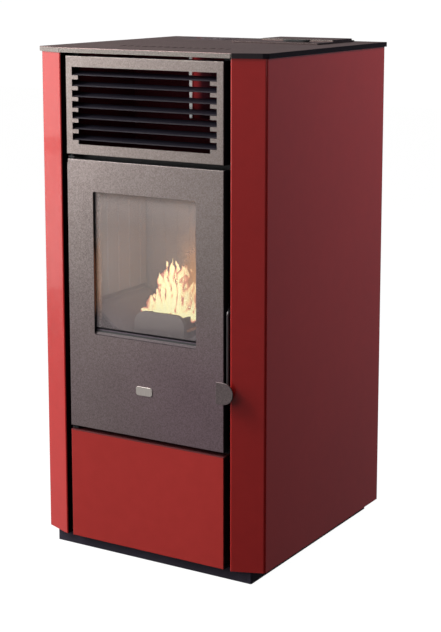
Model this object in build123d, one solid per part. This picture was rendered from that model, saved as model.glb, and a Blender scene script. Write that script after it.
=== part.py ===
from build123d import *
import os
import math

# Pellet stove with a bent red steel casing and a bronze-grey front.
# Millimetres. +Z up, the front faces -Y, +X is to the right seen from the front.
# Origin: centre of the bounding box at floor level.

# ---------------------------------------------------------------- driving dimensions
width = 504.7            # over the side panels
depth = 510.4            # front plane to the back of the side panels
height = 1000.0          # top face of the top plate
tab_proud = 14.0         # handle tab in front of the front plane
stub = 40.0              # flue stub behind the side panels
yf = -(depth + tab_proud + stub) / 2 + tab_proud     # front plane of the door
hw = width / 2

strip_w = 62.8           # front strip of a side panel, along X
strip_d = 24.6           # and how far it falls back
strip_x = hw - strip_w   # inner edge of the strip
z_body = 26.7            # underside of the casing
plate_drop = 9.4         # folded edge of the top plate
z_plate = height - plate_drop
t_side = 2.0
t_face = 2.0

face_x = 176.5           # half width of door, grille and lower panel
lower_top = 247.8
door_bot = 255.5
door_top = 787.5
grille_bot = 796.4
grille_top = 984.7

win_x = 116.5            # half width of the window
win_bot = 446.7
win_top = 727.0
win_r = 4.0
glass_v = 8.0            # front face of the glass behind the front plane
glass_t = 4.0

grille_open_x = 162.0
grille_tooth_x = 147.8
grille_open_top = 964.0
grille_open_bot = 816.6
tooth_pitch = 20.6
tooth_top = 947.7        # top edge of the highest tooth
tooth_h = 7.6

hinge_x = -168.0         # door pivot
hinge_v = 9.0
handle_x = 183.0
handle_piv_v = 17.0
handle_piv_z = 527.0

flue_x, flue_z, flue_r = -95.0, 150.0, 40.0
air_x, air_z, air_r = 105.0, 320.0, 25.0

lid_x0, lid_x1 = -10.0, 195.0
lid_v0, lid_v1 = 335.0, 491.0
lid_axis_v, lid_axis_z = 497.5, 1002.6

run_gap = 0.05           # radial clearance of a running pin

os.makedirs("parts", exist_ok=True)


# ---------------------------------------------------------------- helpers
def bx(x0, x1, v0, v1, z0, z1):
    """box given by X, depth behind the front plane, and Z limits"""
    return Pos((x0 + x1) / 2, yf + (v0 + v1) / 2, (z0 + z1) / 2) * Box(x1 - x0, v1 - v0, z1 - z0)


def cx(x0, x1, v, z, r):
    return Pos((x0 + x1) / 2, yf + v, z) * Rot(0, 90, 0) * Cylinder(r, x1 - x0)


def cy(x, v0, v1, z, r):
    return Pos(x, yf + (v0 + v1) / 2, z) * Rot(90, 0, 0) * Cylinder(r, v1 - v0)


def cz(x, v, z0, z1, r):
    return Pos(x, yf + v, (z0 + z1) / 2) * Cylinder(r, z1 - z0)


def plan(points, z0, z1):
    """closed outline in X and depth, extruded upward"""
    pts = [(x, yf + v) for x, v in points]
    return Pos(0, 0, z0) * extrude(make_face(Polyline(*pts, close=True)), amount=z1 - z0)


def side_prism(points, x0, x1):
    """closed outline in depth and Z, extruded along X"""
    pts = [(yf + v, z) for v, z in points]
    f = make_face(Plane.YZ * Polyline(*pts, close=True))
    return Pos(x0, 0, 0) * extrude(f, amount=x1 - x0, dir=(1, 0, 0))


def front_prism(points, v0, v1):
    """closed outline in X and Z, extruded backward"""
    f = make_face(Plane.XZ * Polyline(*points, close=True))
    return Pos(0, yf + v0, 0) * extrude(f, amount=v1 - v0, dir=(0, 1, 0))


def offset_line(pts, t):
    """parallel copy of an open polyline, t to its left, with mitred corners"""
    out = []
    n = len(pts)
    for i in range(n):
        def nrm(a, b):
            dx, dy = b[0] - a[0], b[1] - a[1]
            l = math.hypot(dx, dy)
            return (-dy / l, dx / l)
        if i == 0:
            nx, ny = nrm(pts[0], pts[1])
            out.append((pts[0][0] + t * nx, pts[0][1] + t * ny))
        elif i == n - 1:
            nx, ny = nrm(pts[-2], pts[-1])
            out.append((pts[-1][0] + t * nx, pts[-1][1] + t * ny))
        else:
            a = nrm(pts[i - 1], pts[i])
            b = nrm(pts[i], pts[i + 1])
            k = 1 + a[0] * b[0] + a[1] * b[1]
            out.append((pts[i][0] + t * (a[0] + b[0]) / k, pts[i][1] + t * (a[1] + b[1]) / k))
    return out


def near_vertical_edges(solid, spots, tol=0.6):
    """upright edges of a solid that stand at the given X, depth spots"""
    got = []
    for e in solid.edges().filter_by(Axis.Z):
        c = e.center()
        for x, v in spots:
            if abs(c.X - x) < tol and abs(c.Y - (yf + v)) < tol:
                got.append(e)
    return got


def pan_cover(x, z0, z1, v_back, t=2.0, r=1.6):
    """front cover: face sheet with four returns folded back"""
    s = bx(-x, x, 0, v_back, z0, z1)
    s = s - bx(-x + t, x - t, t, v_back + 1, z0 + t, z1 - t)
    front = [e for e in s.edges() if abs(e.center().Y - yf) < 0.01
             and (abs(abs(e.center().X) - x) < 0.01 or abs(e.center().Z - z0) < 0.01 or abs(e.center().Z - z1) < 0.01)]
    return fillet(front, r)


def ring_xz(x, z0, z1, w, v0, v1):
    """flat rectangular ring facing the front, w wide inward"""
    return bx(-x, x, v0, v1, z0, z1) - bx(-x + w, x - w, v0 - 1, v1 + 1, z0 + w, z1 - w)


nodes = {}


def add(name, shape):
    nodes[name] = shape


# ---------------------------------------------------------------- plinth, feet, base pan
foot_spots = [(-195, 52), (195, 52), (-195, 470), (195, 470)]
px0, px1, pv0, pv1 = -(hw - 25.7), hw - 25.7, 18.2, depth - 6.6
pl = bx(px0, px1, pv0, pv1, 2.0, z_body)
pl = fillet(pl.edges().filter_by(Axis.Z), 3.0)
pl = pl - bx(px0 + 1.5, px1 - 1.5, pv0 + 1.5, pv1 - 1.5, 1.0, z_body - 1.5)
for x, v in foot_spots:
    nut = Pos(x, yf + v, z_body - 1.5 - 3.5) * extrude(RegularPolygon(8.0, 6), amount=3.5, both=True)
    pl = pl + nut - cz(x, v, 10, z_body + 1, 4.1)
add("base_plinth", pl)

feet = []
for x, v in foot_spots:
    f = cz(x, v, 0, 6, 17) + cz(x, v, 5, 10, 8) + cz(x, v, 9, 40, 4.0)
    f = chamfer(f.edges().group_by(Axis.Z)[0], 1.0)
    feet.append(f)
add("levelling_feet", Compound(children=feet))

pan = bx(-246, 246, 26, 505, z_body, z_body + 16) - bx(-244.5, 244.5, 27.5, 503.5, z_body + 1.5, z_body + 20)
for x, v in foot_spots:
    pan = pan - cz(x, v, 20, 60, 7)
add("base_pan", pan)

# ---------------------------------------------------------------- side panels, bent from one sheet each
outer = [(strip_x, 22.0), (strip_x, 0.0), (hw, strip_d), (hw, depth), (hw - 20.0, depth)]
inner = offset_line(outer, t_side)
sp = plan(outer + inner[::-1], z_body, height - 2.0)
sp = fillet(near_vertical_edges(sp, [outer[1], outer[3]]), 2.6)
sp = fillet(near_vertical_edges(sp, [outer[2]]), 6.0)
screw_z = [80, 290, 500, 710, 920]
for z in screw_z:
    sp = sp - cy(hw - 10, depth - 6, depth + 6, z, 2.2)
add("side_panel_right", sp)
add("side_panel_left", mirror(sp, about=Plane.YZ))

# ---------------------------------------------------------------- front frame behind the covers
ff = bx(-188, 188, 24, 26, z_body + 1.5, height - 2.0)
ff = ff - bx(-143, 143, 20, 30, 276, 767)
ff = ff - bx(-163, 163, 20, 30, 812, 993)
ff = ff - bx(-150, 150, 20, 30, 60, 225)
ff = ff - bx(177.5, 190, 20, 30, 500, 545)
add("front_frame", ff)

# ---------------------------------------------------------------- lower panel
add("lower_front_panel", pan_cover(face_x, z_body, lower_top, 24.0))

# ---------------------------------------------------------------- grille
gf = pan_cover(face_x, grille_bot, grille_top, 24.0)
gf = gf - bx(-grille_tooth_x, grille_tooth_x, -1, 3, grille_open_bot, grille_open_top)
gf = gf - bx(-grille_open_x, grille_open_x, -1, 3, tooth_top, grille_open_top)
slat_z = []
for i in range(7):
    zt_ = tooth_top - i * tooth_pitch            # top edge of tooth i
    slat_z.append(zt_)
    if i < 6:
        z_hi = zt_ - tooth_h
        z_lo = tooth_top - (i + 1) * tooth_pitch
        gf = gf - bx(-grille_open_x, grille_open_x, -1, 3, z_lo, z_hi)
add("grille_frame", gf)

slats = []
for z in slat_z:
    a = [(3.0, z + 0.6), (23.0, z + 6.4)]
    b = offset_line(a, 1.4)
    lip = side_prism([(3.0, z + 2.0), (3.0, z + 0.2), (4.2, z - 0.2), (4.2, z + 2.0)], -174.4, 174.4)
    slats.append(side_prism(a + b[::-1], -174.4, 174.4) + lip)
add("grille_slats", Compound(children=slats))

# plenum behind the grille: hot air comes in through its right wall
t_pl = 1.2
pb = bx(-168, 168, 26, 220, 797, 995) - bx(-168 + t_pl, 168 - t_pl, 20, 220 - t_pl, 797 + t_pl, 995 - t_pl)
pb = pb - bx(160, 175, 64, 176, 835, 945)
add("plenum_box", pb)
up = bx(78, 84, 40, 41.5, 875, 993.8) + bx(78, 79.5, 40, 62, 875, 993.8)
add("plenum_upright", up)
rs = bx(84, 128, 44, 45.2, 875, 993.8) + bx(84, 85.2, 41.5, 45.2, 875, 993.8)
add("plenum_side_sheet", rs)

# ---------------------------------------------------------------- top plate
ch_n = math.hypot(strip_w, strip_d)
ux, uv = strip_w / ch_n, strip_d / ch_n
over = 2.2
q0 = (strip_x + over * uv, -over * ux)
side_over, front_over = 4.1, 1.6
kx = (-front_over - q0[1]) / uv
c1 = (q0[0] + kx * ux, -front_over)
c2 = (hw + side_over, q0[1] + (hw + side_over - q0[0]) / ux * uv)
line = [(-c1[0], c1[1]), c1, c2, (c2[0], depth + 0.3), (-c2[0], depth + 0.3), (-c2[0], c2[1])]
tp = plan(line, z_plate, height)
top_edges = [e for e in tp.edges() if abs(e.center().Z - height) < 0.01]
tp = fillet(top_edges, 1.2)
ti = 2.0
inl = offset_line(line + line[:2], ti)[1:-1]
inl = [inl[-1]] + inl[:-1]
tp = tp - plan(inl, z_plate - 1, height - 2.0)
# the rear fold stops short of the side panels' own rear folds
for sx in (-1, 1):
    tp = tp - bx(min(sx * 231, sx * 254.4), max(sx * 231, sx * 254.4), depth - 3.0, depth + 5, z_plate - 1, height - 2.0)
# slits where the folded edges meet at the cut corners
for sx in (-1, 1):
    for (x, v), ang in ((c1, 10.7), (c2, 55.7)):
        tp = tp - Pos(sx * x, yf + v, z_plate + 3.2) * Rot(0, 0, sx * ang) * Box(0.9, 7.0, 8.4)
# one row of heat slots, long from front to back
for i in range(15):
    slot = Pos(-119 + 17 * i, yf + 112, height - 1) * Rot(0, 0, 90) * extrude(SlotOverall(20, 8), amount=3, both=True)
    tp = tp - slot
# hopper opening, with a collar below it
hop_x0, hop_x1, hop_v0, hop_v1 = 5.0, 180.0, 347.0, 477.0
tp = tp - bx(hop_x0, hop_x1, hop_v0, hop_v1, height - 40, height + 1)
# control panel cut-out
tp = tp - bx(-186.0, -74.0, 409.0, 471.0, height - 5, height + 1)
# lid hinge ears
for x0, x1 in ((33, 47), (138, 152)):
    ear = bx(x0, x1, lid_axis_v - 2.2, lid_axis_v + 2.2, height - 1, lid_axis_z) + cx(x0, x1, lid_axis_v, lid_axis_z, 2.2)
    tp = tp + ear
tp = tp - cx(30, 50, lid_axis_v, lid_axis_z, 1.2) - cx(135, 155, lid_axis_v, lid_axis_z, 1.2)
col = [bx(hop_x0 - 2, hop_x1 + 2, hop_v0 - 2, hop_v0, height - 30, height - 2.0),
       bx(hop_x0 - 2, hop_x1 + 2, hop_v1, hop_v1 + 2, height - 30, height - 2.0),
       bx(hop_x0 - 2, hop_x0, hop_v0, hop_v1, height - 30, height - 2.0),
       bx(hop_x1, hop_x1 + 2, hop_v0, hop_v1, height - 30, height - 2.0)]
add("top_plate", Compound(children=[tp] + col))

# ---------------------------------------------------------------- pellet lid
lz0, lz1 = height + 0.3, height + 3.0
lid = bx(lid_x0, lid_x1, lid_v0, lid_v1, lz0, lz1)
lid = fillet(lid.edges().filter_by(Axis.Z), 7.0)
lid = fillet([e for e in lid.edges() if abs(e.center().Z - lz1) < 0.01], 0.8)
# raised rear half
hump = bx(22, 190, 405, 487, lz1 - 1.5, height + 6.5)
hump = fillet(hump.edges().filter_by(Axis.Z), 4.0)
hump = fillet([e for e in hump.edges() if abs(e.center().Z - (height + 6.5)) < 0.01], 1.0)
lid = lid + hump
lid = lid - bx(lid_x0 + 2, lid_x1 - 2, lid_v0 + 2, lid_v1 - 2, lz0 - 1, lz1 - 1.5) - bx(24, 188, 407, 485, lz0 - 1, height + 5.0)
for x0, x1 in ((10, 32), (48, 60), (125, 137), (153, 175)):
    k = bx(x0, x1, lid_v1 - 3, lid_axis_v, lz1 - 1.6, lz1) + cx(x0, x1, lid_axis_v, lid_axis_z, 2.2)
    lid = lid + k - cx(x0 - 1, x1 + 1, lid_axis_v, lid_axis_z, 1.2 + run_gap)
add("hopper_lid", lid)
# low oval pull on the lid, undercut along its front
gr = Pos(125, yf + 368, lz1) * extrude(SlotOverall(60, 21), amount=4.2)
gr = gr - Pos(125, yf + 368, lz1 + 0.9) * (extrude(SlotOverall(62, 23), amount=1.6) - extrude(SlotOverall(54, 15), amount=1.6))
gr = fillet([e for e in gr.edges() if abs(e.center().Z - (lz1 + 4.2)) < 0.01], 0.8)
add("lid_grip", gr)
add("lid_hinge_pin", cx(9.0, 176.0, lid_axis_v, lid_axis_z, 1.2))

# ---------------------------------------------------------------- rear panel
rp = bx(-248, 248, depth - 3.5, depth - 2.0, z_body + 1.5, height - 2.0)
rp = rp - cy(flue_x, depth - 8, depth + 4, flue_z, flue_r + 0.6)
rp = rp - cy(air_x, depth - 8, depth + 4, air_z, air_r + 0.6)
rp = rp - bx(146, 198, depth - 8, depth + 4, 104, 136)
for row in range(9):
    z = 560 + row * 16
    for x in (-120, 0, 120):
        rp = rp - Pos(x, yf + depth - 2.5, z) * Rot(90, 0, 0) * extrude(SlotOverall(90, 5), amount=4, both=True)
for row in range(5):
    z = 60 + row * 14
    rp = rp - Pos(60, yf + depth - 2.5, z) * Rot(90, 0, 0) * extrude(SlotOverall(90, 5), amount=4, both=True)
for z in screw_z:
    for sx in (-1, 1):
        rp = rp - cy(sx * (hw - 10), depth - 8, depth + 4, z, 2.2)
# the cover is four sheets, parted at the middles of the two spigots so that each lifts off past its pipe
cuts = [z_body, flue_z, air_z, 545.0, height]
sheets = []
for i in range(4):
    g0, g1 = (0.2 if i > 0 else 0), (0.2 if i < 3 else 0)
    sheets += list((rp & bx(-260, 260, depth - 10, depth + 4, cuts[i] + g0, cuts[i + 1] - g1)).solids())
add("rear_panel", Compound(children=sheets))

screws = []
for z in screw_z:
    for sx in (-1, 1):
        s = cy(sx * (hw - 10), depth, depth + 2.4, z, 4.0)
        s = fillet([e for e in s.edges() if abs(e.center().Y - (yf + depth + 2.4)) < 0.01], 1.4)
        s = s + cy(sx * (hw - 10), depth - 12, depth + 0.5, z, 2.0)
        s = s - (Pos(sx * (hw - 10), yf + depth + 2.4, z) * Box(5.0, 1.6, 0.8)) - (Pos(sx * (hw - 10), yf + depth + 2.4, z) * Box(0.8, 1.6, 5.0))
        screws.append(s)
add("rear_panel_screws", Compound(children=screws))

# ---------------------------------------------------------------- firebox
back = bx(-153, 153, 235, 238, 267, 778)
back = back - bx(-28, 28, 230, 245, 572, 632)            # pellet drop
back = back - bx(-125, -65, 230, 245, 292, 348)          # smoke outlet
back = back - cy(air_x, 230, 245, air_z, air_r - 1.2)    # combustion air
back = back - cy(0, 230, 245, 425, 6.3)                  # igniter
fb = Compound(children=[back,
                        bx(-153, -150, 26, 235, 267, 778), bx(150, 153, 26, 235, 267, 778),
                        bx(-150, 150, 26, 235, 267, 270), bx(-150, 150, 26, 235, 775, 778)])
add("firebox_shell", fb)

bp = bx(-149, 149, 226, 234, 447, 768)
for i in range(10):
    x = -135 + 30 * i
    bp = bp + bx(x - 5, x + 5, 224.8, 226.5, 520 if abs(x) > 40 else 660, 760)
for i in range(10):
    x = -135 + 30 * i
    if abs(x) > 40:
        bp = bp + bx(x - 5, x + 5, 224.8, 226.5, 455, 522)
bp = bp - bx(-28, 28, 220, 240, 572, 632)
add("firebox_back_panel", bp)

ln = []
for x0, x1, xi in ((-149.5, -143.5, -143.5), (143.5, 149.5, 143.5)):
    w = bx(x0, x1, 40, 221.5, 508, 740)
    for v in (47, 85, 123, 161, 199):
        w = w - Pos(xi, yf + v, 624) * Rot(0, 0, 45) * Box(2.6, 2.6, 240)
    ln.append(w)
add("firebox_side_liners", Compound(children=ln))
add("baffle_plate", bx(-149, 149, 70, 221.5, 740, 752))

tray = front_prism([(-148, 506), (-70, 446), (70, 446), (148, 506), (148, 499), (72.5, 440), (-72.5, 440), (-148, 499)], 32, 221.5)
tray = tray - bx(-44, 44, 64, 139, 430, 460)
tray = tray + bx(-148, -140, 32, 221.5, 372, 502) + bx(140, 148, 32, 221.5, 372, 502)
add("burn_pot_tray", tray)

# burn pot: cast cup with a wide rim and a shield plate in front, rounded at its upper corners
pot_v0, pot_v1 = 50.0, 153.0
vm = (pot_v0 + pot_v1) / 2
z_rim0, z_rim1, z_side, z_top = 446.3, 460.0, 484.0, 491.6


def rrect(wx, wv, r):
    return RectangleRounded(wx, wv, r)


pot = Pos(0, yf + vm, z_rim0) * extrude(rrect(116, 103, 3), amount=z_rim1 - z_rim0)
pot = pot + Pos(0, yf + vm, z_rim1 - 2) * extrude(rrect(94, 84, 8), amount=z_side - z_rim1 + 2)
shield = bx(-57.2, 57.2, 50.8, 60.5, z_rim0 + 2, z_top)
shield = fillet([e for e in shield.edges().filter_by(Axis.Y) if e.center().Z > z_top - 1], 22.0)
pot = pot + shield
pot = pot + Pos(0, yf + vm, 411) * extrude(rrect(84, 71, 10), amount=45)
cav_lo = Pos(0, yf + vm, 411) * rrect(74, 61, 8)
cav_hi = Pos(0, yf + vm, z_top + 0.5) * rrect(84, 71, 10)
pot = pot - loft([cav_lo, cav_hi])
pot_floor = Pos(0, yf + vm, 405) * extrude(rrect(84, 71, 10), amount=6)
for ix in range(6):
    for iv in range(5):
        pot_floor = pot_floor - cz(-27.5 + 11 * ix, vm - 22 + 11 * iv, 400, 415, 2.5)
for ix in range(5):
    pot = pot - cy(-24 + 12 * ix, pot_v0 - 5, pot_v1 + 5, 432, 2.5)
add("burn_pot", Compound(children=[pot, pot_floor]))

ad = bx(-120, 120, 36, 214, 272, 366) - bx(-118.5, 118.5, 37.5, 212.5, 273.5, 370)
pull = bx(-32, 32, 29.5, 36, 326, 342) - bx(-29, 29, 31.0, 37, 328, 340)
add("ash_drawer", ad + pull)

ig = cy(0, 140, 246, 425, 6.0) + cy(0, 238, 240.5, 425, 12.0)
ig = fillet([e for e in ig.edges() if abs(e.center().Y - (yf + 140)) < 0.01], 1.5)
add("igniter", ig)

# ---------------------------------------------------------------- door
dp = pan_cover(face_x, door_bot, door_top, 16.0)
cut = Pos(0, yf, (win_bot + win_top) / 2) * Rot(90, 0, 0) * extrude(RectangleRounded(2 * win_x, win_top - win_bot, win_r), amount=10, both=True)
lip = Pos(0, yf + 1.0, (win_bot + win_top) / 2) * Rot(90, 0, 0) * extrude(RectangleRounded(2 * win_x + 3, win_top - win_bot + 3, win_r + 1.5), amount=-5.0)
dp = dp + lip - cut
# sloped sill along the bottom of the window
sill = side_prism([(2.2, 447.8), (7.8, 447.8), (7.8, 454.8), (6.6, 454.8)], -win_x, win_x)
sill = sill + side_prism([(3.0, 445.8), (5.8, 445.8), (6.8, 450.0), (4.0, 449.0)], -win_x, win_x)
dp = dp + sill
# notch for the upper hinge pin, and relief behind the handle pivot
dp = dp - bx(-face_x - 1, -face_x + 2.4, -1, 3.5, door_top - 8, door_top + 1)
dp = dp - cz(hinge_x, hinge_v, door_top - 3, door_top + 1, 4.0) - cz(hinge_x, hinge_v, door_bot - 1, door_bot + 3, 4.0)
dp = dp - cx(170, 180, handle_piv_v, handle_piv_z, 3.4)
add("door_panel", dp)

inf = bx(-166, 166, 12, 16, 259.5, 783.5) - bx(-120, 117, 10, 20, 455, 728)
inf = inf + (ring_xz(161, 263.5, 779.5, 3.0, 15.5, 21) + ring_xz(147.5, 277, 766, 3.0, 15.5, 21))
inf = inf + bx(164, 174.4, 12, 23.4, 517, 537)
inf = inf - cx(160, 180, handle_piv_v, handle_piv_z, 3.0)
# hinge blocks
for z0, z1 in ((757, 785.4), (257.6, 286)):
    inf = inf + bx(-174.4, -161.5, 2.2, 16, z0, z1)
inf = inf - cz(hinge_x, hinge_v, 250, 290, 4.0) - cz(hinge_x, hinge_v, 750, 790, 4.0)
for z in (500, 590, 680):
    for sx in (-1, 1):
        inf = inf - cy(sx * 134.0, 10, 20, z, 2.0)
for x in (-60, 60):
    for z in (430, 744):
        inf = inf - cy(x, 10, 20, z, 2.0)
add("door_inner_frame", inf)

add("door_glass", bx(-126, 126, glass_v, glass_v + glass_t, 437, 737))
gk = ring_xz(123.5, win_bot - 7.0, win_top + 7.0, 7.0, 6.0, glass_v)
gk = bx(-123.5, 123.5, 6.0, glass_v, win_bot - 7.0, win_top + 7.0) - bx(-117.6, 117.6, 5, 9, win_bot - 1.2, win_top + 1.2)
add("glass_gasket", gk)
ret = []
for sx in (-1, 1):
    a = bx(126.2, 140, glass_v, glass_v + glass_t, 470, 710) + bx(123.8, 140, 6.2, glass_v, 470, 710)
    a = a if sx > 0 else mirror(a, about=Plane.YZ)
    for z in (500, 590, 680):
        a = a - cy(sx * 134.0, 4, 14, z, 2.0)
    ret.append(a)
for z0, z1, zl0, zl1, zs in ((737.2, 752, 734.2, 752, 744), (422, 436.8, 422, 439.5, 430)):
    a = bx(-90, 90, glass_v, glass_v + glass_t, z0, z1) + bx(-90, 90, 6.2, glass_v, zl0, zl1)
    for x in (-60, 60):
        a = a - cy(x, 4, 14, zs, 2.0)
    ret.append(a)
add("glass_retainers", Compound(children=ret))
rsc = []
for z in (500, 590, 680):
    for sx in (-1, 1):
        rsc.append(cy(sx * 134.0, 4.6, 16.5, z, 2.0) + cy(sx * 134.0, 4.2, 6.2, z, 3.5))
for x in (-60, 60):
    for z in (430, 744):
        rsc.append(cy(x, 4.6, 16.5, z, 2.0) + cy(x, 4.2, 6.2, z, 3.5))
add("retainer_screws", Compound(children=rsc))
rope = ring_xz(157.8, 266.7, 776.3, 7.2, 16.0, 23.7)
rope = fillet([e for e in rope.edges() if abs(e.center().Y - (yf + 23.7)) < 0.01], 2.4)
add("door_rope_seal", rope)
badge = Pos(-1.0, yf, 348.7) * Rot(90, 0, 0) * extrude(RectangleRounded(37, 17.4, 5.0), amount=1.2)
badge = fillet([e for e in badge.edges() if abs(e.center().Y - (yf - 1.2)) < 0.01], 0.6)
add("badge_plate", badge)

# hinge pins stand in the door and turn in the brackets of the front frame
add("hinge_pins", Compound(children=[cz(hinge_x, hinge_v, 760, 795.0, 4.0), cz(hinge_x, hinge_v, 249.4, 284, 4.0)]))
br = []
for z0, z1 in ((789.5, 792.5), (250.4, 253.4)):
    b = bx(-175, -161, 3.2, 24, z0, z1) + bx(-175, -150, 22.5, 24, z0 - (10 if z0 > 500 else 0), z1 + (0 if z0 > 500 else 0))
    b = bx(-175, -161, 3.2, 24, z0, z1)
    b = b - cz(hinge_x, hinge_v, z0 - 1, z1 + 1, 4.0 + run_gap)
    br.append(b)
strk = bx(178, 187, 26, 28, 545.2, 568) + bx(178, 187, 26, 34.5, 543.2, 546) + bx(178, 187, 32.5, 34.5, 536.8, 545)
br.append(strk)
add("door_brackets", Compound(children=br))

# ---------------------------------------------------------------- handle
piv = (handle_piv_v, handle_piv_z)
path_pts = [(handle_x, yf + handle_piv_v, handle_piv_z), (handle_x, yf + 5, handle_piv_z),
            (handle_x, yf + 5, 378.0), (handle_x, yf - 11.6, 378.0)]
rod_path = FilletPolyline(*path_pts, radius=8.0)
rod = sweep(Plane(origin=path_pts[0], z_dir=(0, -1, 0)) * Circle(3.0), path=rod_path)
boss = cx(178.6, 187.4, piv[0], piv[1], 6.0)
arm = bx(180.5, 185.0, piv[0] + 3, 40.0, 523, 531) + bx(180.5, 185.0, 36.2, 40.0, 530, 536)
lever = rod + boss + arm
lever = lever - cx(170, 190, piv[0], piv[1], 3.0 + run_gap)
add("handle_lever", lever)
# D-shaped tab
tab_z = 374.2
tab_r = 20.8
tab_c = 204.3 - tab_r
tab = cy(tab_c, -14.0, -11.4, tab_z, tab_r) - bx(100, tab_c, -20, 0, 300, 450) + bx(167.65, tab_c, -14.0, -11.4, tab_z - tab_r, tab_z + tab_r)
tab = fillet([e for e in tab.edges() if abs(e.center().Y - (yf - 14.0)) < 0.01], 0.7)
tab = tab + cy(handle_x, -11.6, -8.5, 378.0, 5.0) - cy(handle_x, -11.6, -8.0, 378.0, 3.0)
add("handle_tab", tab)
add("handle_pivot_pin", cx(165.0, 188.2, piv[0], piv[1], 3.0))

# ---------------------------------------------------------------- pellet hopper
hx0, hx1, hv0, hv1 = -50.0, 215.0, 308.0, 493.0
z_h0, z_h1, z_h2 = 505.0, 700.0, 985.8


def frustum(x0, x1, v0, v1, z0, a0, a1, b0, b1, z1):
    f0 = Pos((x0 + x1) / 2, yf + (v0 + v1) / 2, z0) * Rectangle(x1 - x0, v1 - v0)
    f1 = Pos((a0 + a1) / 2, yf + (b0 + b1) / 2, z1) * Rectangle(a1 - a0, b1 - b0)
    return loft([f0, f1])


th = 1.5
z_cut = 582.0            # the funnel's lower end, below this, is one piece with the neck


def funnel_at(z):
    """outer limits of the funnel at a height"""
    k = (z - z_h0) / (z_h1 - z_h0)
    return (-27 + k * (hx0 + 27), 27 + k * (hx1 - 27), 322 + k * (hv0 - 322), 378 + k * (hv1 - 378))


def wall_plates(a, za, b, zb):
    """four mitred wall plates between two rectangles given by their outer limits"""
    out = []
    def quad(r, side):
        x0, x1, v0, v1 = r
        i0, i1, j0, j1 = x0 + th, x1 - th, v0 + th, v1 - th
        return {"l": [(x0, v0), (i0, j0), (i0, j1), (x0, v1)], "r": [(x1, v0), (x1, v1), (i1, j1), (i1, j0)],
                "f": [(x0, v0), (x1, v0), (i1, j0), (i0, j0)], "b": [(x0, v1), (i0, j1), (i1, j1), (x1, v1)]}[side]
    for side in "lrfb":
        fa = Pos(0, 0, za) * make_face(Polyline(*[(x, yf + v) for x, v in quad(a, side)], close=True))
        fb_ = Pos(0, 0, zb) * make_face(Polyline(*[(x, yf + v) for x, v in quad(b, side)], close=True))
        out.append(loft([fa, fb_], ruled=True))
    return out


bin_r = (hx0, hx1, hv0, hv1)
hopper_walls = wall_plates(bin_r, z_h1, bin_r, z_h2) + wall_plates(funnel_at(z_cut), z_cut, bin_r, z_h1)
lo_r = funnel_at(z_cut)
hop_out = frustum(-27, 27, 322, 378, z_h0, *lo_r, z_cut)
hop_in = frustum(-27 + th, 27 - th, 322 + th, 378 - th, z_h0, lo_r[0] + th, lo_r[1] - th, lo_r[2] + th, lo_r[3] - th, z_cut)
hopper = hop_out - hop_in - bx(-25.5, 25.5, 323.5, 376.5, z_h0 - 5, z_h0 + 5)

# auger tube: inclined, lower end at the rear, drops pellets into the firebox
p0 = (374.0, 452.0)
p1 = (274.0, 588.0)
al = math.hypot(p1[0] - p0[0], p1[1] - p0[1])
ax_plane = Plane(origin=(0, yf + p0[0], p0[1]), x_dir=(1, 0, 0), z_dir=(0, p1[0] - p0[0], p1[1] - p0[1]))


def along(shape, s):
    """place a shape built on the auger's axis at distance s up the tube"""
    return ax_plane.location * Pos(0, 0, s) * shape


tube_out = along(Cylinder(30, al + 4), (al + 4) / 2 - 2)
tube_in = along(Cylinder(28, al + 20), al / 2)
hopper = hopper - tube_out
hs = hopper.solids().sort_by(SortBy.VOLUME)
hopper = hs[-1]
add("pellet_hopper", Compound(children=[hopper] + hopper_walls))

chute = bx(-33, 33, 238, 306, 556, 642) - bx(-31.5, 31.5, 230, 304.5, 557.5, 640.5)
chute = chute - tube_out
chs = chute.solids().sort_by(SortBy.VOLUME)
chute = chs[-1]
tube = (tube_out - tube_in) - bx(-22, 22, 328, 372, 480, 620)
tube = tube - bx(-60, 60, 180, 238.2, 500, 700)
add("auger_tube", Compound(children=list(tube.solids()) + [chute]))

# screw: shaft with one helical flight
pitch = 42.0
turns = 3.5
shaft = along(Cylinder(7, al + 6), (al + 6) / 2 - 8)
helix = Helix(pitch=pitch, height=pitch * turns, radius=16.0)
prof = Plane(origin=helix @ 0, z_dir=helix % 0) * Rectangle(1, 1)
sec = Plane(origin=helix @ 0, x_dir=(1, 0, 0), z_dir=helix % 0) * Rectangle(20.0, 2.4)
flight = sweep(sec, path=helix, is_frenet=True)
add("auger_screw", shaft + along(flight, 6.0))

gm = along(Pos(0, 0, -4 - 20) * Box(68, 68, 36), 0)
gm = gm + along(Cylinder(27, 62), -4 - 38 - 31)
gm = gm - along(Cylinder(7.3, 40), -20)
add("auger_gearmotor", gm)

gb = []
for i in range(7):
    x = 20 + 24.2 * i
    gb.append(cy(x, hop_v0, hop_v1, 979.0, 2.0))
for v in (385, 440):
    gb.append(cx(hop_x0, hop_x1, v, 975.0, 2.0))
add("hopper_grid", Compound(children=gb))

# ---------------------------------------------------------------- smoke path
fan_r = 76.0


def fan_plate(v0, v1, hole):
    """flat wall of the fan drum with its shoulders below the riser"""
    return (cy(flue_x, v0, v1, flue_z, fan_r) + bx(flue_x - 37, flue_x + 37, v0, v1, flue_z, flue_z + fan_r)
            - cy(flue_x, v0 - 2, v1 + 2, flue_z, hole))


fh = [fan_plate(240, 242, 9.0), fan_plate(290, 292, flue_r - 1.5)]
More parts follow.
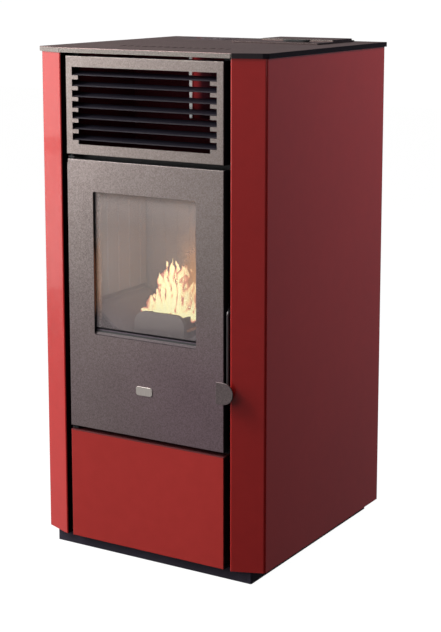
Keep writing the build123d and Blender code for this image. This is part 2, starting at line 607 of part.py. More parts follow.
# rim of the drum, folded in twelve flats and open to the riser at the top
a0, flats = 28.5, 12
for i in range(flats):
    q = [math.radians(a0 + (360 - 2 * a0) / flats * k) for k in (i, i + 1)]
    pts = [(flue_x + r * math.sin(t), flue_z + r * math.cos(t)) for r, t in
           ((fan_r, q[0]), (fan_r, q[1]), (fan_r - 2, q[1]), (fan_r - 2, q[0]))]
    fh.append(front_prism(pts, 242, 290))
z_sh = flue_z + fan_r
fh += [bx(flue_x - 37, flue_x - 35, 242, 290, 216.8, 354), bx(flue_x + 35, flue_x + 37, 242, 290, 216.8, 354),
       bx(flue_x - 37, flue_x + 37, 238, 292, 354, 356), bx(flue_x - 37, flue_x + 37, 290, 292, z_sh, 354),
       bx(flue_x - 37, flue_x + 37, 238, 242, z_sh, 286),
       bx(flue_x - 37, flue_x - 35, 238, 242, 286, 354), bx(flue_x + 35, flue_x + 37, 238, 242, 286, 354)]
add("exhaust_fan_housing", Compound(children=fh))
imp = cy(flue_x, 252, 254.5, flue_z, 58) + cy(flue_x, 245, 268, flue_z, 12)
for i in range(8):
    imp = imp + Pos(flue_x, 0, flue_z) * Rot(0, 45 * i, 0) * Pos(34, yf + 261, 0) * Box(46, 15, 2.0)
imp = imp + cy(flue_x, 200, 246, flue_z, 5.0)
add("exhaust_impeller", imp)
em = cy(flue_x, 166, 232, flue_z, 40) + bx(flue_x - 56, flue_x + 56, 227, 231, flue_z - 8, flue_z + 8)
for sx in (-1, 1):
    em = em + bx(flue_x + sx * 50 - 6, flue_x + sx * 50 + 6, 230, 240, flue_z - 7, flue_z + 7)
em = em - cy(flue_x, 192, 245, flue_z, 5.6)
add("exhaust_motor", em)

# a collar is three rings face to face: inner pipe, flange on the rear panel, spigot outside
def collar(x, z, v_in, tip, r, bore, r_flange):
    inner = cy(x, v_in, depth, z, r - 0.3) - cy(x, v_in - 5, depth + 5, z, bore)
    flange = cy(x, depth, depth + 2, z, r_flange) - cy(x, depth - 5, depth + 5, z, bore)
    spigot = cy(x, depth + 2, depth + tip, z, r) - cy(x, depth - 5, depth + tip + 5, z, bore)
    return Compound(children=[inner, flange, spigot])


add("flue_collar", collar(flue_x, flue_z, 292, stub, flue_r, flue_r - 1.5, 50))

add("air_intake_pipe", collar(air_x, air_z, 238, 35, air_r, air_r - 1.2, 32))

# ---------------------------------------------------------------- room-air blower, riser duct
bh = cx(170, 232, 120, 115, 68) + bx(170, 232, 60, 180, 115, 200)
bh_in = cx(171.5, 230.5, 120, 115, 66.5) + bx(171.5, 230.5, 61.5, 178.5, 115, 205)
bh = bh - bh_in - cx(165, 175, 120, 115, 34)
add("blower_housing", bh)
ro = [cx(224, 226, 120, 115, 52),
      cx(140, 224, 120, 115, 4.0)]
# front ring of the wheel, in twelve flats
for i in range(12):
    a0, a1 = math.radians(30 * i - 15), math.radians(30 * i + 15)
    ro.append(side_prism([(120 + r * math.cos(a), 115 + r * math.sin(a))
                          for r, a in ((41.4, a0), (52, a0), (52, a1), (41.4, a1))], 176, 179))
for i in range(24):
    a = 15 * i
    ro.append(Pos(201.5, yf + 120, 115) * Rot(a, 0, 0) * Pos(0, 0, 46) * Rot(25, 0, 0) * Box(45, 1.4, 10))
add("blower_rotor", Compound(children=ro))
bm = cx(104, 164, 120, 115, 31) - cx(130, 170, 120, 115, 4.6)
for a in (30, 150, 270):
    arm_ = Pos(0, yf + 120, 115) * Rot(a, 0, 0) * (Pos(161, 0, 36) * Box(6, 8, 24) + Pos(164.5, 0, 44) * Box(11, 8, 8))
    bm = bm + arm_
bm = bm - cx(130, 170, 120, 115, 4.6)
add("blower_motor", bm)
du = bx(168, 232, 60, 180, 200, 955) - bx(169.5, 230.5, 61.5, 178.5, 195, 953.5)
du = du - bx(165, 172, 64, 176, 835, 945)
add("riser_duct", du)

# ---------------------------------------------------------------- controls
cp = bx(-190, -70, 405, 475, height, height + 0.8)
cp = fillet(cp.edges().filter_by(Axis.Z), 3.0)
cp = cp + bx(-185.8, -74.2, 409.2, 470.8, height - 12, height + 0.2)
cp = cp - bx(-183, -77, 412, 468, height - 13, height - 3)
cp = cp - bx(-178, -118, 438, 462, height + 0.3, height + 2)
btn_spots = [("button_power", -100, 450), ("button_up", -100, 425), ("button_down", -130, 425)]
for _, x, v in btn_spots:
    cp = cp - cz(x, v, height - 5, height + 3, 6.2)
add("control_panel", cp)
for name, x, v in btn_spots:
    b = cz(x, v, height - 5.0, height + 1.8, 6.0)
    b = fillet(b.edges().group_by(Axis.Z)[-1], 0.8)
    add(name, b)
cb = bx(-184, -76, 413, 467, 960, 961.6)
for x, v, h in ((-165, 430, 10), (-140, 450, 14), (-105, 445, 8), (-95, 425, 6)):
    cb = cb + bx(x - 8, x + 8, v - 6, v + 6, 961, 961 + h)
for x in (-180, -80):
    for v in (417, 463):
        cb = cb + cz(x, v, 961, height - 12.0, 2.5)
add("control_board", cb)

pi_ = bx(142, 202, depth - 2.0, depth + 1.0, 100, 140) + bx(147, 197, depth - 34, depth - 1, 105, 135)
pi_ = fillet([e for e in pi_.edges() if abs(e.center().Y - (yf + depth + 1.0)) < 0.01], 0.8)
pi_ = pi_ - bx(150.5, 173.5, depth - 20, depth + 3, 112, 128)
for x, z in ((155.5, 118.5), (162, 122.5), (168.5, 118.5)):
    pi_ = pi_ + bx(x - 1, x + 1, depth - 22, depth - 5, z - 2.2, z + 2.2)
rk_x, rk_z, rk_v = 187.0, 120.0, depth - 1.0
pi_ = pi_ - bx(rk_x - 6.6, rk_x + 6.6, depth - 14, depth + 3, rk_z - 10.6, rk_z + 10.6)
add("power_inlet", pi_)
rk = Box(12.4, 7.0, 18.4)
rk = fillet(rk.edges().filter_by(Axis.X), 1.0)
rk = rk - Pos(0, 10.6, 0) * Rot(0, 90, 0) * Cylinder(8.2, 14)
rk = Pos(rk_x, yf + rk_v, rk_z) * Rot(8, 0, 0) * rk
add("rocker_switch", rk)

# ---------------------------------------------------------------- export
for name, shape in nodes.items():
    shape.label = name
    export_step(shape, "parts/%s.step" % name)
print(len(nodes), "nodes")
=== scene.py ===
import bpy
import bmesh
import math
import random
from mathutils import Vector, Matrix, noise


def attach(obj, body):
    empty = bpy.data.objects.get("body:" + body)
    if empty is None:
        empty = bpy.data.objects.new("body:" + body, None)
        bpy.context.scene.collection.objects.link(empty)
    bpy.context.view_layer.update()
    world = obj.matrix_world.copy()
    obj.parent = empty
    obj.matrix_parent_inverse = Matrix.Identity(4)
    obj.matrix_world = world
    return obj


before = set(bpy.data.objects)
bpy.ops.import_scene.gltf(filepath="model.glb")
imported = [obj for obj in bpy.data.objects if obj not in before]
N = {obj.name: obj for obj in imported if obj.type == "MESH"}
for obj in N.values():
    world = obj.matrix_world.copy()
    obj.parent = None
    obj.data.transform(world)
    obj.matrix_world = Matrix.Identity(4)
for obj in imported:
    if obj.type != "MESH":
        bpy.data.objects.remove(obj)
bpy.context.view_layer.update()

YF = -0.2682             # front plane of the door, metres
H = 1.0                  # top face of the top plate
scn = bpy.context.scene
scn.view_settings.view_transform = "Standard"
scn.view_settings.look = "None"
scn.view_settings.exposure = 0.0
scn.view_settings.gamma = 1.0


# ------------------------------------------------------------------ camera
def add_camera():
    data = bpy.data.cameras.new("camera")
    cam = bpy.data.objects.new("camera", data)
    scn.collection.objects.link(cam)
    loc = Vector((1.61731, -2.64852, 1.15667))
    yaw, pitch = math.radians(31.3037), math.radians(9.4211)
    fwd = Vector((-math.sin(yaw) * math.cos(pitch), math.cos(yaw) * math.cos(pitch), -math.sin(pitch)))
    cam.location = loc
    cam.rotation_euler = fwd.to_track_quat("-Z", "Y").to_euler()
    data.sensor_fit = "VERTICAL"
    data.sensor_height = 36.0
    data.sensor_width = 36.0
    data.lens = 36.0 * 1549.67 / 632.0
    data.shift_y = -0.15
    data.clip_start = 0.05
    data.clip_end = 60.0
    scn.camera = cam


add_camera()


# ------------------------------------------------------------------ node helpers
class Mat:
    def __init__(self, name):
        self.m = bpy.data.materials.new(name)
        self.m.use_nodes = True
        self.nt = self.m.node_tree
        self.nt.nodes.clear()
        self.out = self.n("ShaderNodeOutputMaterial")
        self.b = self.n("ShaderNodeBsdfPrincipled")
        self.l(self.b.outputs[0], self.out.inputs[0])
        self.co = self.n("ShaderNodeTexCoord").outputs["Object"]

    def n(self, kind, **props):
        x = self.nt.nodes.new(kind)
        for k, v in props.items():
            setattr(x, k, v)
        return x

    def l(self, a, b):
        self.nt.links.new(a, b)

    def set(self, **kw):
        for k, v in kw.items():
            self.b.inputs[k.replace("_", " ")].default_value = v

    def mapping(self, scale=(1, 1, 1), rot=(0, 0, 0), loc=(0, 0, 0)):
        mp = self.n("ShaderNodeMapping")
        mp.inputs["Scale"].default_value = scale
        mp.inputs["Rotation"].default_value = rot
        mp.inputs["Location"].default_value = loc
        self.l(self.co, mp.inputs["Vector"])
        return mp.outputs[0]

    def noise(self, scale, detail=3.0, rough=0.5, vec=None, dist=0.0):
        t = self.n("ShaderNodeTexNoise")
        t.inputs["Scale"].default_value = scale
        t.inputs["Detail"].default_value = detail
        t.inputs["Roughness"].default_value = rough
        t.inputs["Distortion"].default_value = dist
        self.l(vec if vec is not None else self.co, t.inputs["Vector"])
        return t.outputs["Fac"]

    def voronoi(self, scale, feature="F1", vec=None, out="Distance", rand=1.0):
        t = self.n("ShaderNodeTexVoronoi", feature=feature)
        t.inputs["Scale"].default_value = scale
        t.inputs["Randomness"].default_value = rand
        self.l(vec if vec is not None else self.co, t.inputs["Vector"])
        return t.outputs[out]

    def ramp(self, fac, stops, mode="LINEAR"):
        r = self.n("ShaderNodeValToRGB")
        r.color_ramp.interpolation = mode
        e = r.color_ramp.elements
        while len(e) < len(stops):
            e.new(0.5)
        for i, (p, c) in enumerate(stops):
            e[i].position = p
            if not isinstance(c, (tuple, list)):
                c = (c, c, c)
            e[i].color = (c[0], c[1], c[2], 1.0)
        self.l(fac, r.inputs["Fac"])
        return r.outputs["Color"]

    def math(self, op, a, b=None, c=None, clamp=False):
        m = self.n("ShaderNodeMath", operation=op, use_clamp=clamp)
        for i, v in enumerate((a, b, c)):
            if v is None:
                continue
            if isinstance(v, (int, float)):
                m.inputs[i].default_value = v
            else:
                self.l(v, m.inputs[i])
        return m.outputs[0]

    def mix(self, fac, a, b, mode="MIX"):
        m = self.n("ShaderNodeMix", data_type="RGBA", blend_type=mode)
        for s, v in ((m.inputs[0], fac), (m.inputs[6], a), (m.inputs[7], b)):
            if isinstance(v, (int, float)):
                s.default_value = v
            elif isinstance(v, (tuple, list)):
                s.default_value = (v[0], v[1], v[2], 1.0)
            else:
                self.l(v, s)
        return m.outputs[2]

    def sep(self, vec=None):
        s = self.n("ShaderNodeSeparateXYZ")
        self.l(vec if vec is not None else self.co, s.inputs[0])
        return s.outputs[0], s.outputs[1], s.outputs[2]

    def step(self, v, lo, hi):
        """smooth 0 to 1 as v goes from lo to hi"""
        r = self.n("ShaderNodeMapRange", interpolation_type="SMOOTHSTEP")
        r.inputs["From Min"].default_value = lo
        r.inputs["From Max"].default_value = hi
        self.l(v, r.inputs["Value"])
        return r.outputs[0]

    def bump(self, height, strength=0.2, dist=0.001, normal=None):
        b = self.n("ShaderNodeBump")
        b.inputs["Strength"].default_value = strength
        b.inputs["Distance"].default_value = dist
        self.l(height, b.inputs["Height"])
        if normal is not None:
            self.l(normal, b.inputs["Normal"])
        self.l(b.outputs[0], self.b.inputs["Normal"])
        return b.outputs[0]

    def color(self, c):
        self.l(c, self.b.inputs["Base Color"])

    def base(self):
        return self.b.inputs["Base Color"].links[0].from_socket

    def all_of(self, *parts):
        r = parts[0]
        for q in parts[1:]:
            r = self.math("MULTIPLY", r, q)
        return r

    def less(self, v, k):
        return self.math("LESS_THAN", v, k)

    def more(self, v, k):
        return self.math("GREATER_THAN", v, k)

    def rough(self, r):
        self.l(r, self.b.inputs["Roughness"])


# ------------------------------------------------------------------ materials
def red_enamel(name="red_enamel", lo=(0.385, 0.0165, 0.0150), hi=(0.420, 0.0190, 0.0170), gap=0.1899):
    m = Mat(name)
    big = m.noise(2.2, 2.0, 0.5)
    mid = m.noise(38.0, 3.0, 0.55)
    base = m.ramp(big, [(0.3, lo), (0.7, hi)])
    flake = m.ramp(m.voronoi(1400.0), [(0.0, 1.06), (0.35, 0.97)])
    c = m.mix(1.0, base, m.ramp(mid, [(0.3, 0.965), (0.7, 1.03)]), "MULTIPLY")
    c = m.mix(0.6, c, m.mix(1.0, c, flake, "MULTIPLY"))
    # painted shade: the folds inside the gaps beside the door and the panels are painted near black
    x, y, z = m.sep()
    ax = m.math("ABSOLUTE", x)
    fold_gap_shade = m.all_of(m.step(y, YF + 0.0012, YF + 0.0024), m.less(y, YF + 0.034), m.less(ax, gap))
    c = m.mix(fold_gap_shade, c, (0.012, 0.004, 0.005))
    rough = m.ramp(mid, [(0.2, 0.20), (0.8, 0.26)])
    m.set(Coat_Weight=0.55, Coat_Roughness=0.045, Coat_IOR=1.5, Specular_IOR_Level=0.42)
    if gap < 0.18:
        # painted shade: the rounded edges of the lower panel's face and its top bend are painted darker to hold down
        # their highlight; the bend is also rough and has no coat
        c = m.mix(m.math("MULTIPLY", m.step(y, YF + 0.00015, YF + 0.0009), 0.8), c, (0.05, 0.008, 0.008))
        bend = m.step(z, 0.2455, 0.2466)
        c = m.mix(bend, c, (0.085, 0.008, 0.010))
        rough = m.math("MAXIMUM", rough, m.math("MULTIPLY", bend, 0.85))
        m.l(m.math("MULTIPLY", m.math("SUBTRACT", 1.0, bend), 0.55), m.b.inputs["Coat Weight"])
    m.color(c)
    m.rough(rough)
    peel = m.math("ADD", m.noise(260.0, 2.0, 0.5), m.math("MULTIPLY", m.noise(5.0, 1.0, 0.4), 3.0))
    m.bump(peel, 0.035, 0.0006)
    return m.m


def bronze(name, dark, light, warm, metal=0.72, rough=(0.40, 0.50)):
    """textured metallic powder coat: fine light and dark grains over a soft cloud"""
    m = Mat(name)
    cloud = m.noise(9.0, 3.0, 0.55)
    grain = m.noise(360.0, 2.5, 0.7)
    fleck = m.voronoi(470.0)
    a = m.ramp(grain, [(0.36, dark), (0.62, light)])
    b = m.ramp(fleck, [(0.0, warm), (0.22, light), (0.5, dark)])
    c = m.mix(0.42, a, b)
    c = m.mix(1.0, c, m.ramp(cloud, [(0.3, 0.94), (0.7, 1.05)]), "MULTIPLY")
    m.color(c)
    m.rough(m.ramp(grain, [(0.3, rough[1]), (0.7, rough[0])]))
    m.set(Metallic=metal, Specular_IOR_Level=0.45)
    h = m.math("ADD", grain, m.math("MULTIPLY", fleck, 0.8))
    m.bump(h, 0.22, 0.00035)
    return m


def dark_gaps(m, top, edge=0.8):
    """painted shade: the folded returns in the gaps are painted near black, and the bend and top edge are painted a
    little darker than the face to hold down their highlight
    """
    x, y, z = m.sep()
    upper = m.math("MULTIPLY", m.step(z, top - 0.0018, top - 0.0010), m.less(z, top + 0.001))
    bend = m.math("MULTIPLY", m.math("MAXIMUM", m.step(y, YF + 0.00015, YF + 0.0008), m.math("MULTIPLY", upper, 0.8)), edge)
    c = m.mix(bend, m.base(), (0.03, 0.025, 0.025))
    deep_gap_shade = m.step(y, YF + 0.0009, YF + 0.0018)
    c = m.mix(deep_gap_shade, c, (0.010, 0.009, 0.011))
    m.color(c)
    return x, y, z, deep_gap_shade


def door_bronze():
    m = bronze("door_bronze", (0.234, 0.192, 0.184), (0.410, 0.355, 0.341), (0.60, 0.52, 0.485), rough=(0.34, 0.44))
    x, y, z = m.sep()
    # painted shade: the lower part of the door, most of all towards the right, is painted darker and more purple
    low = m.math("MULTIPLY", m.step(z, 0.64, 0.32), m.math("ADD", 0.45, m.math("MULTIPLY", m.step(x, -0.15, 0.13), 0.55)))
    m.color(m.mix(low, m.base(), m.mix(1.0, m.base(), (0.88, 0.745, 0.875), "MULTIPLY")))
    plain = m.mix(1.0, m.base(), (0.31, 0.295, 0.31), "MULTIPLY")
    x, y, z, deep_gap_shade = dark_gaps(m, 0.7875)
    ax = m.math("ABSOLUTE", x)
    # painted shade: the folded edges of the window cut-out are painted black inside the recess, and the sill is dull
    # grey
    win = m.all_of(m.less(ax, 0.1190), m.more(z, 0.4440), m.less(z, 0.7292), m.more(y, YF + 0.0015))
    sill = m.all_of(m.less(z, 0.4520), m.more(z, 0.4435), m.less(ax, 0.1164), m.more(y, YF + 0.0003))
    dull = plain
    # painted reflection of the fire: part of the left lip is painted orange-brown instead of black
    warm = m.all_of(m.less(x, -0.1150), m.step(z, 0.625, 0.585), m.step(z, 0.480, 0.505))
    c = m.mix(win, m.base(), m.mix(warm, (0.004, 0.004, 0.005), (0.42, 0.17, 0.09)))
    c = m.mix(sill, c, dull)
    m.color(c)
    off = m.math("MAXIMUM", m.math("MAXIMUM", win, sill), deep_gap_shade)
    m.l(m.math("MULTIPLY", m.math("SUBTRACT", 1.0, off), 0.72), m.b.inputs["Metallic"])
    m.rough(m.math("MAXIMUM", m.b.inputs["Roughness"].links[0].from_socket, m.math("MULTIPLY", off, 0.7)))
    return m.m


def grille_bronze():
    m = bronze("front_bronze", (0.255, 0.212, 0.199), (0.382, 0.333, 0.314), (0.50, 0.435, 0.405), rough=(0.34, 0.44))
    x, y, z, deep_gap_shade = dark_gaps(m, 0.9847)
    m.l(m.math("MULTIPLY", m.math("SUBTRACT", 1.0, deep_gap_shade), 0.72), m.b.inputs["Metallic"])
    return m.m


def top_bronze(lid=False):
    """darker sheet on the top; long soft streaks across it; the front folds painted pale as painted light, the right
    folds painted navy as painted shade
    """
    m = bronze("lid_bronze" if lid else "top_bronze", (0.178, 0.127, 0.121), (0.325, 0.241, 0.230), (0.49, 0.39, 0.36))
    x, y, z = m.sep()
    streak = m.noise(1.0, 3.0, 0.6, m.mapping((5.0, 75.0, 5.0)))
    c = m.mix(1.0, m.base(), m.ramp(streak, [(0.25, (0.80, 0.80, 0.84)), (0.75, (1.20, 1.17, 1.15))]), "MULTIPLY")
    pale = m.ramp(m.noise(360.0, 2.5, 0.7), [(0.34, (0.235, 0.205, 0.190)), (0.64, (0.390, 0.350, 0.325))])
    navy = m.ramp(m.noise(360.0, 2.5, 0.7), [(0.34, (0.006, 0.004, 0.008)), (0.64, (0.012, 0.009, 0.016))])
    navy = m.mix(m.step(x, 0.2465, 0.2450), navy, (0.052, 0.044, 0.050))
    ax = m.math("ABSOLUTE", m.math("SUBTRACT", x, 0.0))
    if lid:
        # painted shade on the lid: a darker strip along its front edge, a darker front face and darker right folds
        edge = m.all_of(m.less(y, YF + 0.3356), m.step(z, H + 0.0001, H + 0.0004))
        c = m.mix(edge, c, (0.075, 0.055, 0.054))
        pale = m.mix(1.0, pale, (0.40, 0.39, 0.39), "MULTIPLY")
        front = m.all_of(m.less(y, YF + 0.4062), m.more(y, YF + 0.4038), m.step(z, H + 0.0033, H + 0.0042))
        navy = m.mix(1.0, pale, (0.36, 0.33, 0.38), "MULTIPLY")
        right = m.math("MAXIMUM", m.more(x, 0.1887), m.all_of(m.more(x, 0.1935), m.less(z, H + 0.0026)))
    else:
        # painted light on the front folds of the top plate, painted navy shade on its right folds
        pale = m.mix(1.0, pale, (0.80, 0.80, 0.80), "MULTIPLY")
        skirt = m.step(z, H - 0.0009, H - 0.0017)
        front = m.all_of(skirt, m.less(x, 0.1935))
        right = m.all_of(m.step(z, H - 0.00005, H - 0.0003),
                         m.math("MAXIMUM", m.more(x, 0.2450), m.all_of(m.more(x, 0.1935), m.less(y, YF + 0.10))))
        # painted shade: the walls of the slot in the top plate are painted near black
        slot = m.all_of(m.less(z, H - 0.00012), m.less(ax, 0.1260), m.more(y, YF + 0.1010), m.less(y, YF + 0.1230))
        c = m.mix(slot, c, (0.006, 0.005, 0.006))
    c = m.mix(front, c, pale)
    c = m.mix(right, c, navy)
    m.color(c)
    return m.m


def fire_frame():
    """cast inner frame of the door; its lips round the window have the tone of the fire chamber"""
    m = Mat("fire_frame")
    g = m.noise(330.0, 5.0, 0.65)
    cl = m.noise(26.0, 4.0, 0.6)
    x, y, z = m.sep()
    ax = m.math("ABSOLUTE", x)
    lip = m.all_of(m.less(ax, 0.1262), m.more(z, 0.4500), m.less(z, 0.7320))
    iron = m.ramp(g, [(0.3, (0.045, 0.043, 0.042)), (0.7, (0.10, 0.096, 0.093))])
    ash = m.ramp(g, [(0.3, (0.27, 0.24, 0.23)), (0.7, (0.38, 0.345, 0.33))])
    c = m.mix(lip, iron, ash)
    m.color(m.mix(1.0, c, m.ramp(cl, [(0.3, 0.85), (0.7, 1.12)]), "MULTIPLY"))
    m.rough(m.ramp(cl, [(0.2, 0.64), (0.8, 0.80)]))
    m.set(Metallic=0.1)
    m.bump(m.math("ADD", g, m.math("MULTIPLY", m.voronoi(420.0), 0.6)), 0.35, 0.0006)
    return m.m


def black_steel(name="black_steel", v=0.012, rough=0.48):
    m = Mat(name)
    g = m.noise(420.0, 3.0, 0.6)
    cl = m.noise(14.0, 3.0, 0.6)
    m.color(m.mix(1.0, m.ramp(g, [(0.3, (v * 0.7, v * 0.7, v * 0.78)), (0.7, (v * 1.5, v * 1.5, v * 1.65))]),
                  m.ramp(cl, [(0.3, 0.85), (0.7, 1.1)]), "MULTIPLY"))
    m.rough(m.ramp(cl, [(0.2, rough - 0.05), (0.8, rough + 0.1)]))
    m.set(Specular_IOR_Level=0.4)
    m.bump(g, 0.12, 0.0003)
    return m.m


def dark_red_steel():
    """inside of the outlet box: thin red coat, nearly black"""
    m = Mat("dark_red_steel")
    g = m.noise(260.0, 3.0, 0.6)
    m.color(m.ramp(g, [(0.3, (0.060, 0.009, 0.014)), (0.7, (0.095, 0.013, 0.020))]))
    m.rough(m.ramp(g, [(0.3, 0.70), (0.7, 0.82)]))
    m.set(Specular_IOR_Level=0.1)
    m.bump(g, 0.1, 0.0003)
    return m.m


def outlet_sheet_red():
    """red sheet edge behind the slats; painted light makes it lighter beside the upright, and painted shade fades it
    to near black to the right
    """
    m = Mat("outlet_sheet_red")
    x, y, z = m.sep()
    g = m.noise(260.0, 3.0, 0.6)
    lit_near_upright = m.step(x, 0.106, 0.086)
    c = m.mix(lit_near_upright, (0.0090, 0.0006, 0.0022), (0.075, 0.0060, 0.0075))
    m.color(m.mix(1.0, c, m.ramp(g, [(0.3, 0.9), (0.7, 1.1)]), "MULTIPLY"))
    m.rough(m.ramp(g, [(0.3, 0.80), (0.7, 0.90)]))
    m.set(Specular_IOR_Level=0.04)
    m.bump(g, 0.05, 0.0003)
    return m.m


def navy_steel():
    m = Mat("plinth_navy")
    g = m.noise(420.0, 3.0, 0.6)
    cl = m.noise(14.0, 3.0, 0.6)
    m.color(m.mix(1.0, m.ramp(g, [(0.3, (0.024, 0.020, 0.034)), (0.7, (0.046, 0.040, 0.058))]),
                  m.ramp(cl, [(0.3, 0.85), (0.7, 1.1)]), "MULTIPLY"))
    m.rough(m.ramp(cl, [(0.2, 0.52), (0.8, 0.66)]))
    m.set(Specular_IOR_Level=0.3)
    m.bump(g, 0.12, 0.0003)
    return m.m


def slat_black():
    """dark slats; the thin front lip is painted a little lighter as a painted highlight"""
    m = Mat("slat_black")
    g = m.noise(500.0, 3.0, 0.6)
    x, y, z = m.sep()
    lip = m.step(y, YF + 0.0046, YF + 0.0032)
    c = m.ramp(g, [(0.3, (0.0050, 0.0042, 0.0085)), (0.7, (0.010, 0.0088, 0.0155))])
    c = m.mix(m.math("MULTIPLY", lip, 0.85), c, (0.046, 0.040, 0.048))
    m.color(c)
    m.rough(m.ramp(g, [(0.3, 0.52), (0.7, 0.62)]))
    m.set(Specular_IOR_Level=0.18)
    m.bump(g, 0.1, 0.0003)
    return m.m


def galvanised():
    m = Mat("galvanised")
    cell = m.voronoi(95.0, out="Color")
    s = m.n("ShaderNodeSeparateColor")
    m.l(cell, s.inputs[0])
    fine = m.noise(240.0, 3.0, 0.6)
    c = m.mix(0.5, m.ramp(s.outputs[0], [(0.0, (0.36, 0.37, 0.38)), (1.0, (0.56, 0.57, 0.58))]),
              m.ramp(fine, [(0.3, (0.40, 0.41, 0.42)), (0.7, (0.55, 0.56, 0.57))]))
    m.color(c)
    m.rough(m.ramp(s.outputs[1], [(0.0, 0.30), (1.0, 0.46)]))
    m.set(Metallic=0.85)
    m.bump(m.math("ADD", fine, s.outputs[0]), 0.06, 0.0003)
    return m.m


def brushed(name, lo, hi, scale=(40.0, 40.0, 1400.0), rough=(0.22, 0.36), metal=0.95):
    m = Mat(name)
    v = m.mapping(scale)
    g = m.noise(1.0, 3.0, 0.6, v)
    cl = m.noise(22.0, 2.0, 0.5)
    m.color(m.mix(1.0, m.ramp(g, [(0.25, lo), (0.75, hi)]), m.ramp(cl, [(0.3, 0.9), (0.7, 1.05)]), "MULTIPLY"))
    m.rough(m.ramp(g, [(0.2, rough[0]), (0.8, rough[1])]))
    m.set(Metallic=metal)
    m.bump(g, 0.08, 0.0002)
    return m.m


def pot_iron():
    """burn pot: pale ash-dusted iron; its front is lighter above a line that runs slightly uphill to the right and
    darker below it
    """
    m = Mat("pot_iron")
    g = m.noise(300.0, 5.0, 0.65)
    cl = m.noise(30.0, 4.0, 0.6)
    x, y, z = m.sep()
    lean = m.math("SUBTRACT", z, m.math("MULTIPLY", x, 0.06))
    up = m.step(lean, 0.4588, 0.4602)
    ash = m.ramp(cl, [(0.3, (0.154, 0.138, 0.131)), (0.7, (0.178, 0.159, 0.152))])
    low = m.ramp(cl, [(0.3, (0.096, 0.086, 0.085)), (0.7, (0.112, 0.100, 0.098))])
    c = m.mix(up, low, ash)
    # burnt brown body behind the front plate, painted darker than the front as painted shade
    body = m.step(y, YF + 0.0600, YF + 0.0625)
    brown = m.ramp(cl, [(0.3, (0.110, 0.085, 0.074)), (0.7, (0.160, 0.124, 0.108))])
    # painted fire light: an orange band on the body; below that band the body is painted in dark purple shade
    rim = m.all_of(m.more(z, 0.4592), m.less(z, 0.4608))
    brown = m.mix(rim, brown, (0.40, 0.20, 0.10))
    brown = m.mix(m.less(z, 0.4592), brown, (0.050, 0.035, 0.045))
    c = m.mix(body, c, brown)
    c = m.mix(1.0, c, m.ramp(g, [(0.3, 0.84), (0.7, 1.12)]), "MULTIPLY")
    m.color(c)
    m.rough(m.ramp(cl, [(0.2, 0.66), (0.8, 0.82)]))
    m.bump(g, 0.3, 0.0006)
    return m.m


def refractory(name="refractory", tray=False):
    """pressed mineral board: grey-brown with fine grains, slightly sooty low down"""
    m = Mat(name)
    g = m.noise(360.0, 3.0, 0.7)
    fl = m.voronoi(420.0)
    cl = m.noise(16.0, 4.0, 0.6)
    a = m.ramp(g, [(0.32, (0.240, 0.215, 0.212)), (0.68, (0.380, 0.345, 0.340))])
    b = m.ramp(fl, [(0.0, (0.45, 0.41, 0.40)), (0.3, (0.32, 0.29, 0.285)), (0.6, (0.25, 0.224, 0.22))])
    c = m.mix(0.35, a, b)
    c = m.mix(1.0, c, m.ramp(cl, [(0.3, 0.9), (0.7, 1.08)]), "MULTIPLY")
    x, y, z = m.sep()
    soot = m.step(z, 0.64, 0.44)
    c = m.mix(m.math("MULTIPLY", soot, 0.30), c, (0.15, 0.130, 0.140))
    if tray:
        # painted shade: the front left of the tray is painted darker and more mauve
        low = m.math("MULTIPLY", m.step(x, -0.02, -0.11), m.step(y, YF + 0.16, YF + 0.03))
        c = m.mix(1.0, c, (0.86, 0.84, 0.87), "MULTIPLY")
        c = m.mix(m.math("MULTIPLY", low, 0.45), c, (0.15, 0.125, 0.142))
        # painted light: the skirt seen under the sloped plate is painted much lighter where it lies in shade; the left
        # part above it is darker; painted shade: the thin front edge of that plate is painted darker to hold down its
        # highlight
        c = m.mix(m.all_of(m.less(x, -0.1385), m.less(z, 0.481)), c, (0.92, 0.85, 0.83))
        c = m.mix(m.all_of(m.less(x, -0.1330), m.more(z, 0.488)), c, m.mix(1.0, c, (0.72, 0.72, 0.72), "MULTIPLY"))
        c = m.mix(m.less(y, YF + 0.0325), c, m.mix(1.0, c, (0.62, 0.62, 0.64), "MULTIPLY"))
    m.color(c)
    m.rough(m.ramp(g, [(0.3, 0.86), (0.7, 0.94)]))
    m.bump(m.math("ADD", g, fl), 0.18, 0.0006)
    return m.m


def sooty_steel():
    m = Mat("sooty_steel")
    g = m.noise(180.0, 4.0, 0.65)
    cl = m.noise(12.0, 4.0, 0.6)
    c = m.mix(1.0, m.ramp(g, [(0.3, (0.085, 0.075, 0.070)), (0.7, (0.150, 0.132, 0.122))]),
              m.ramp(cl, [(0.3, 0.75), (0.7, 1.15)]), "MULTIPLY")
    m.color(c)
    m.rough(m.ramp(cl, [(0.2, 0.6), (0.8, 0.8)]))
    m.set(Metallic=0.3)
    m.bump(g, 0.25, 0.0005)
    return m.m


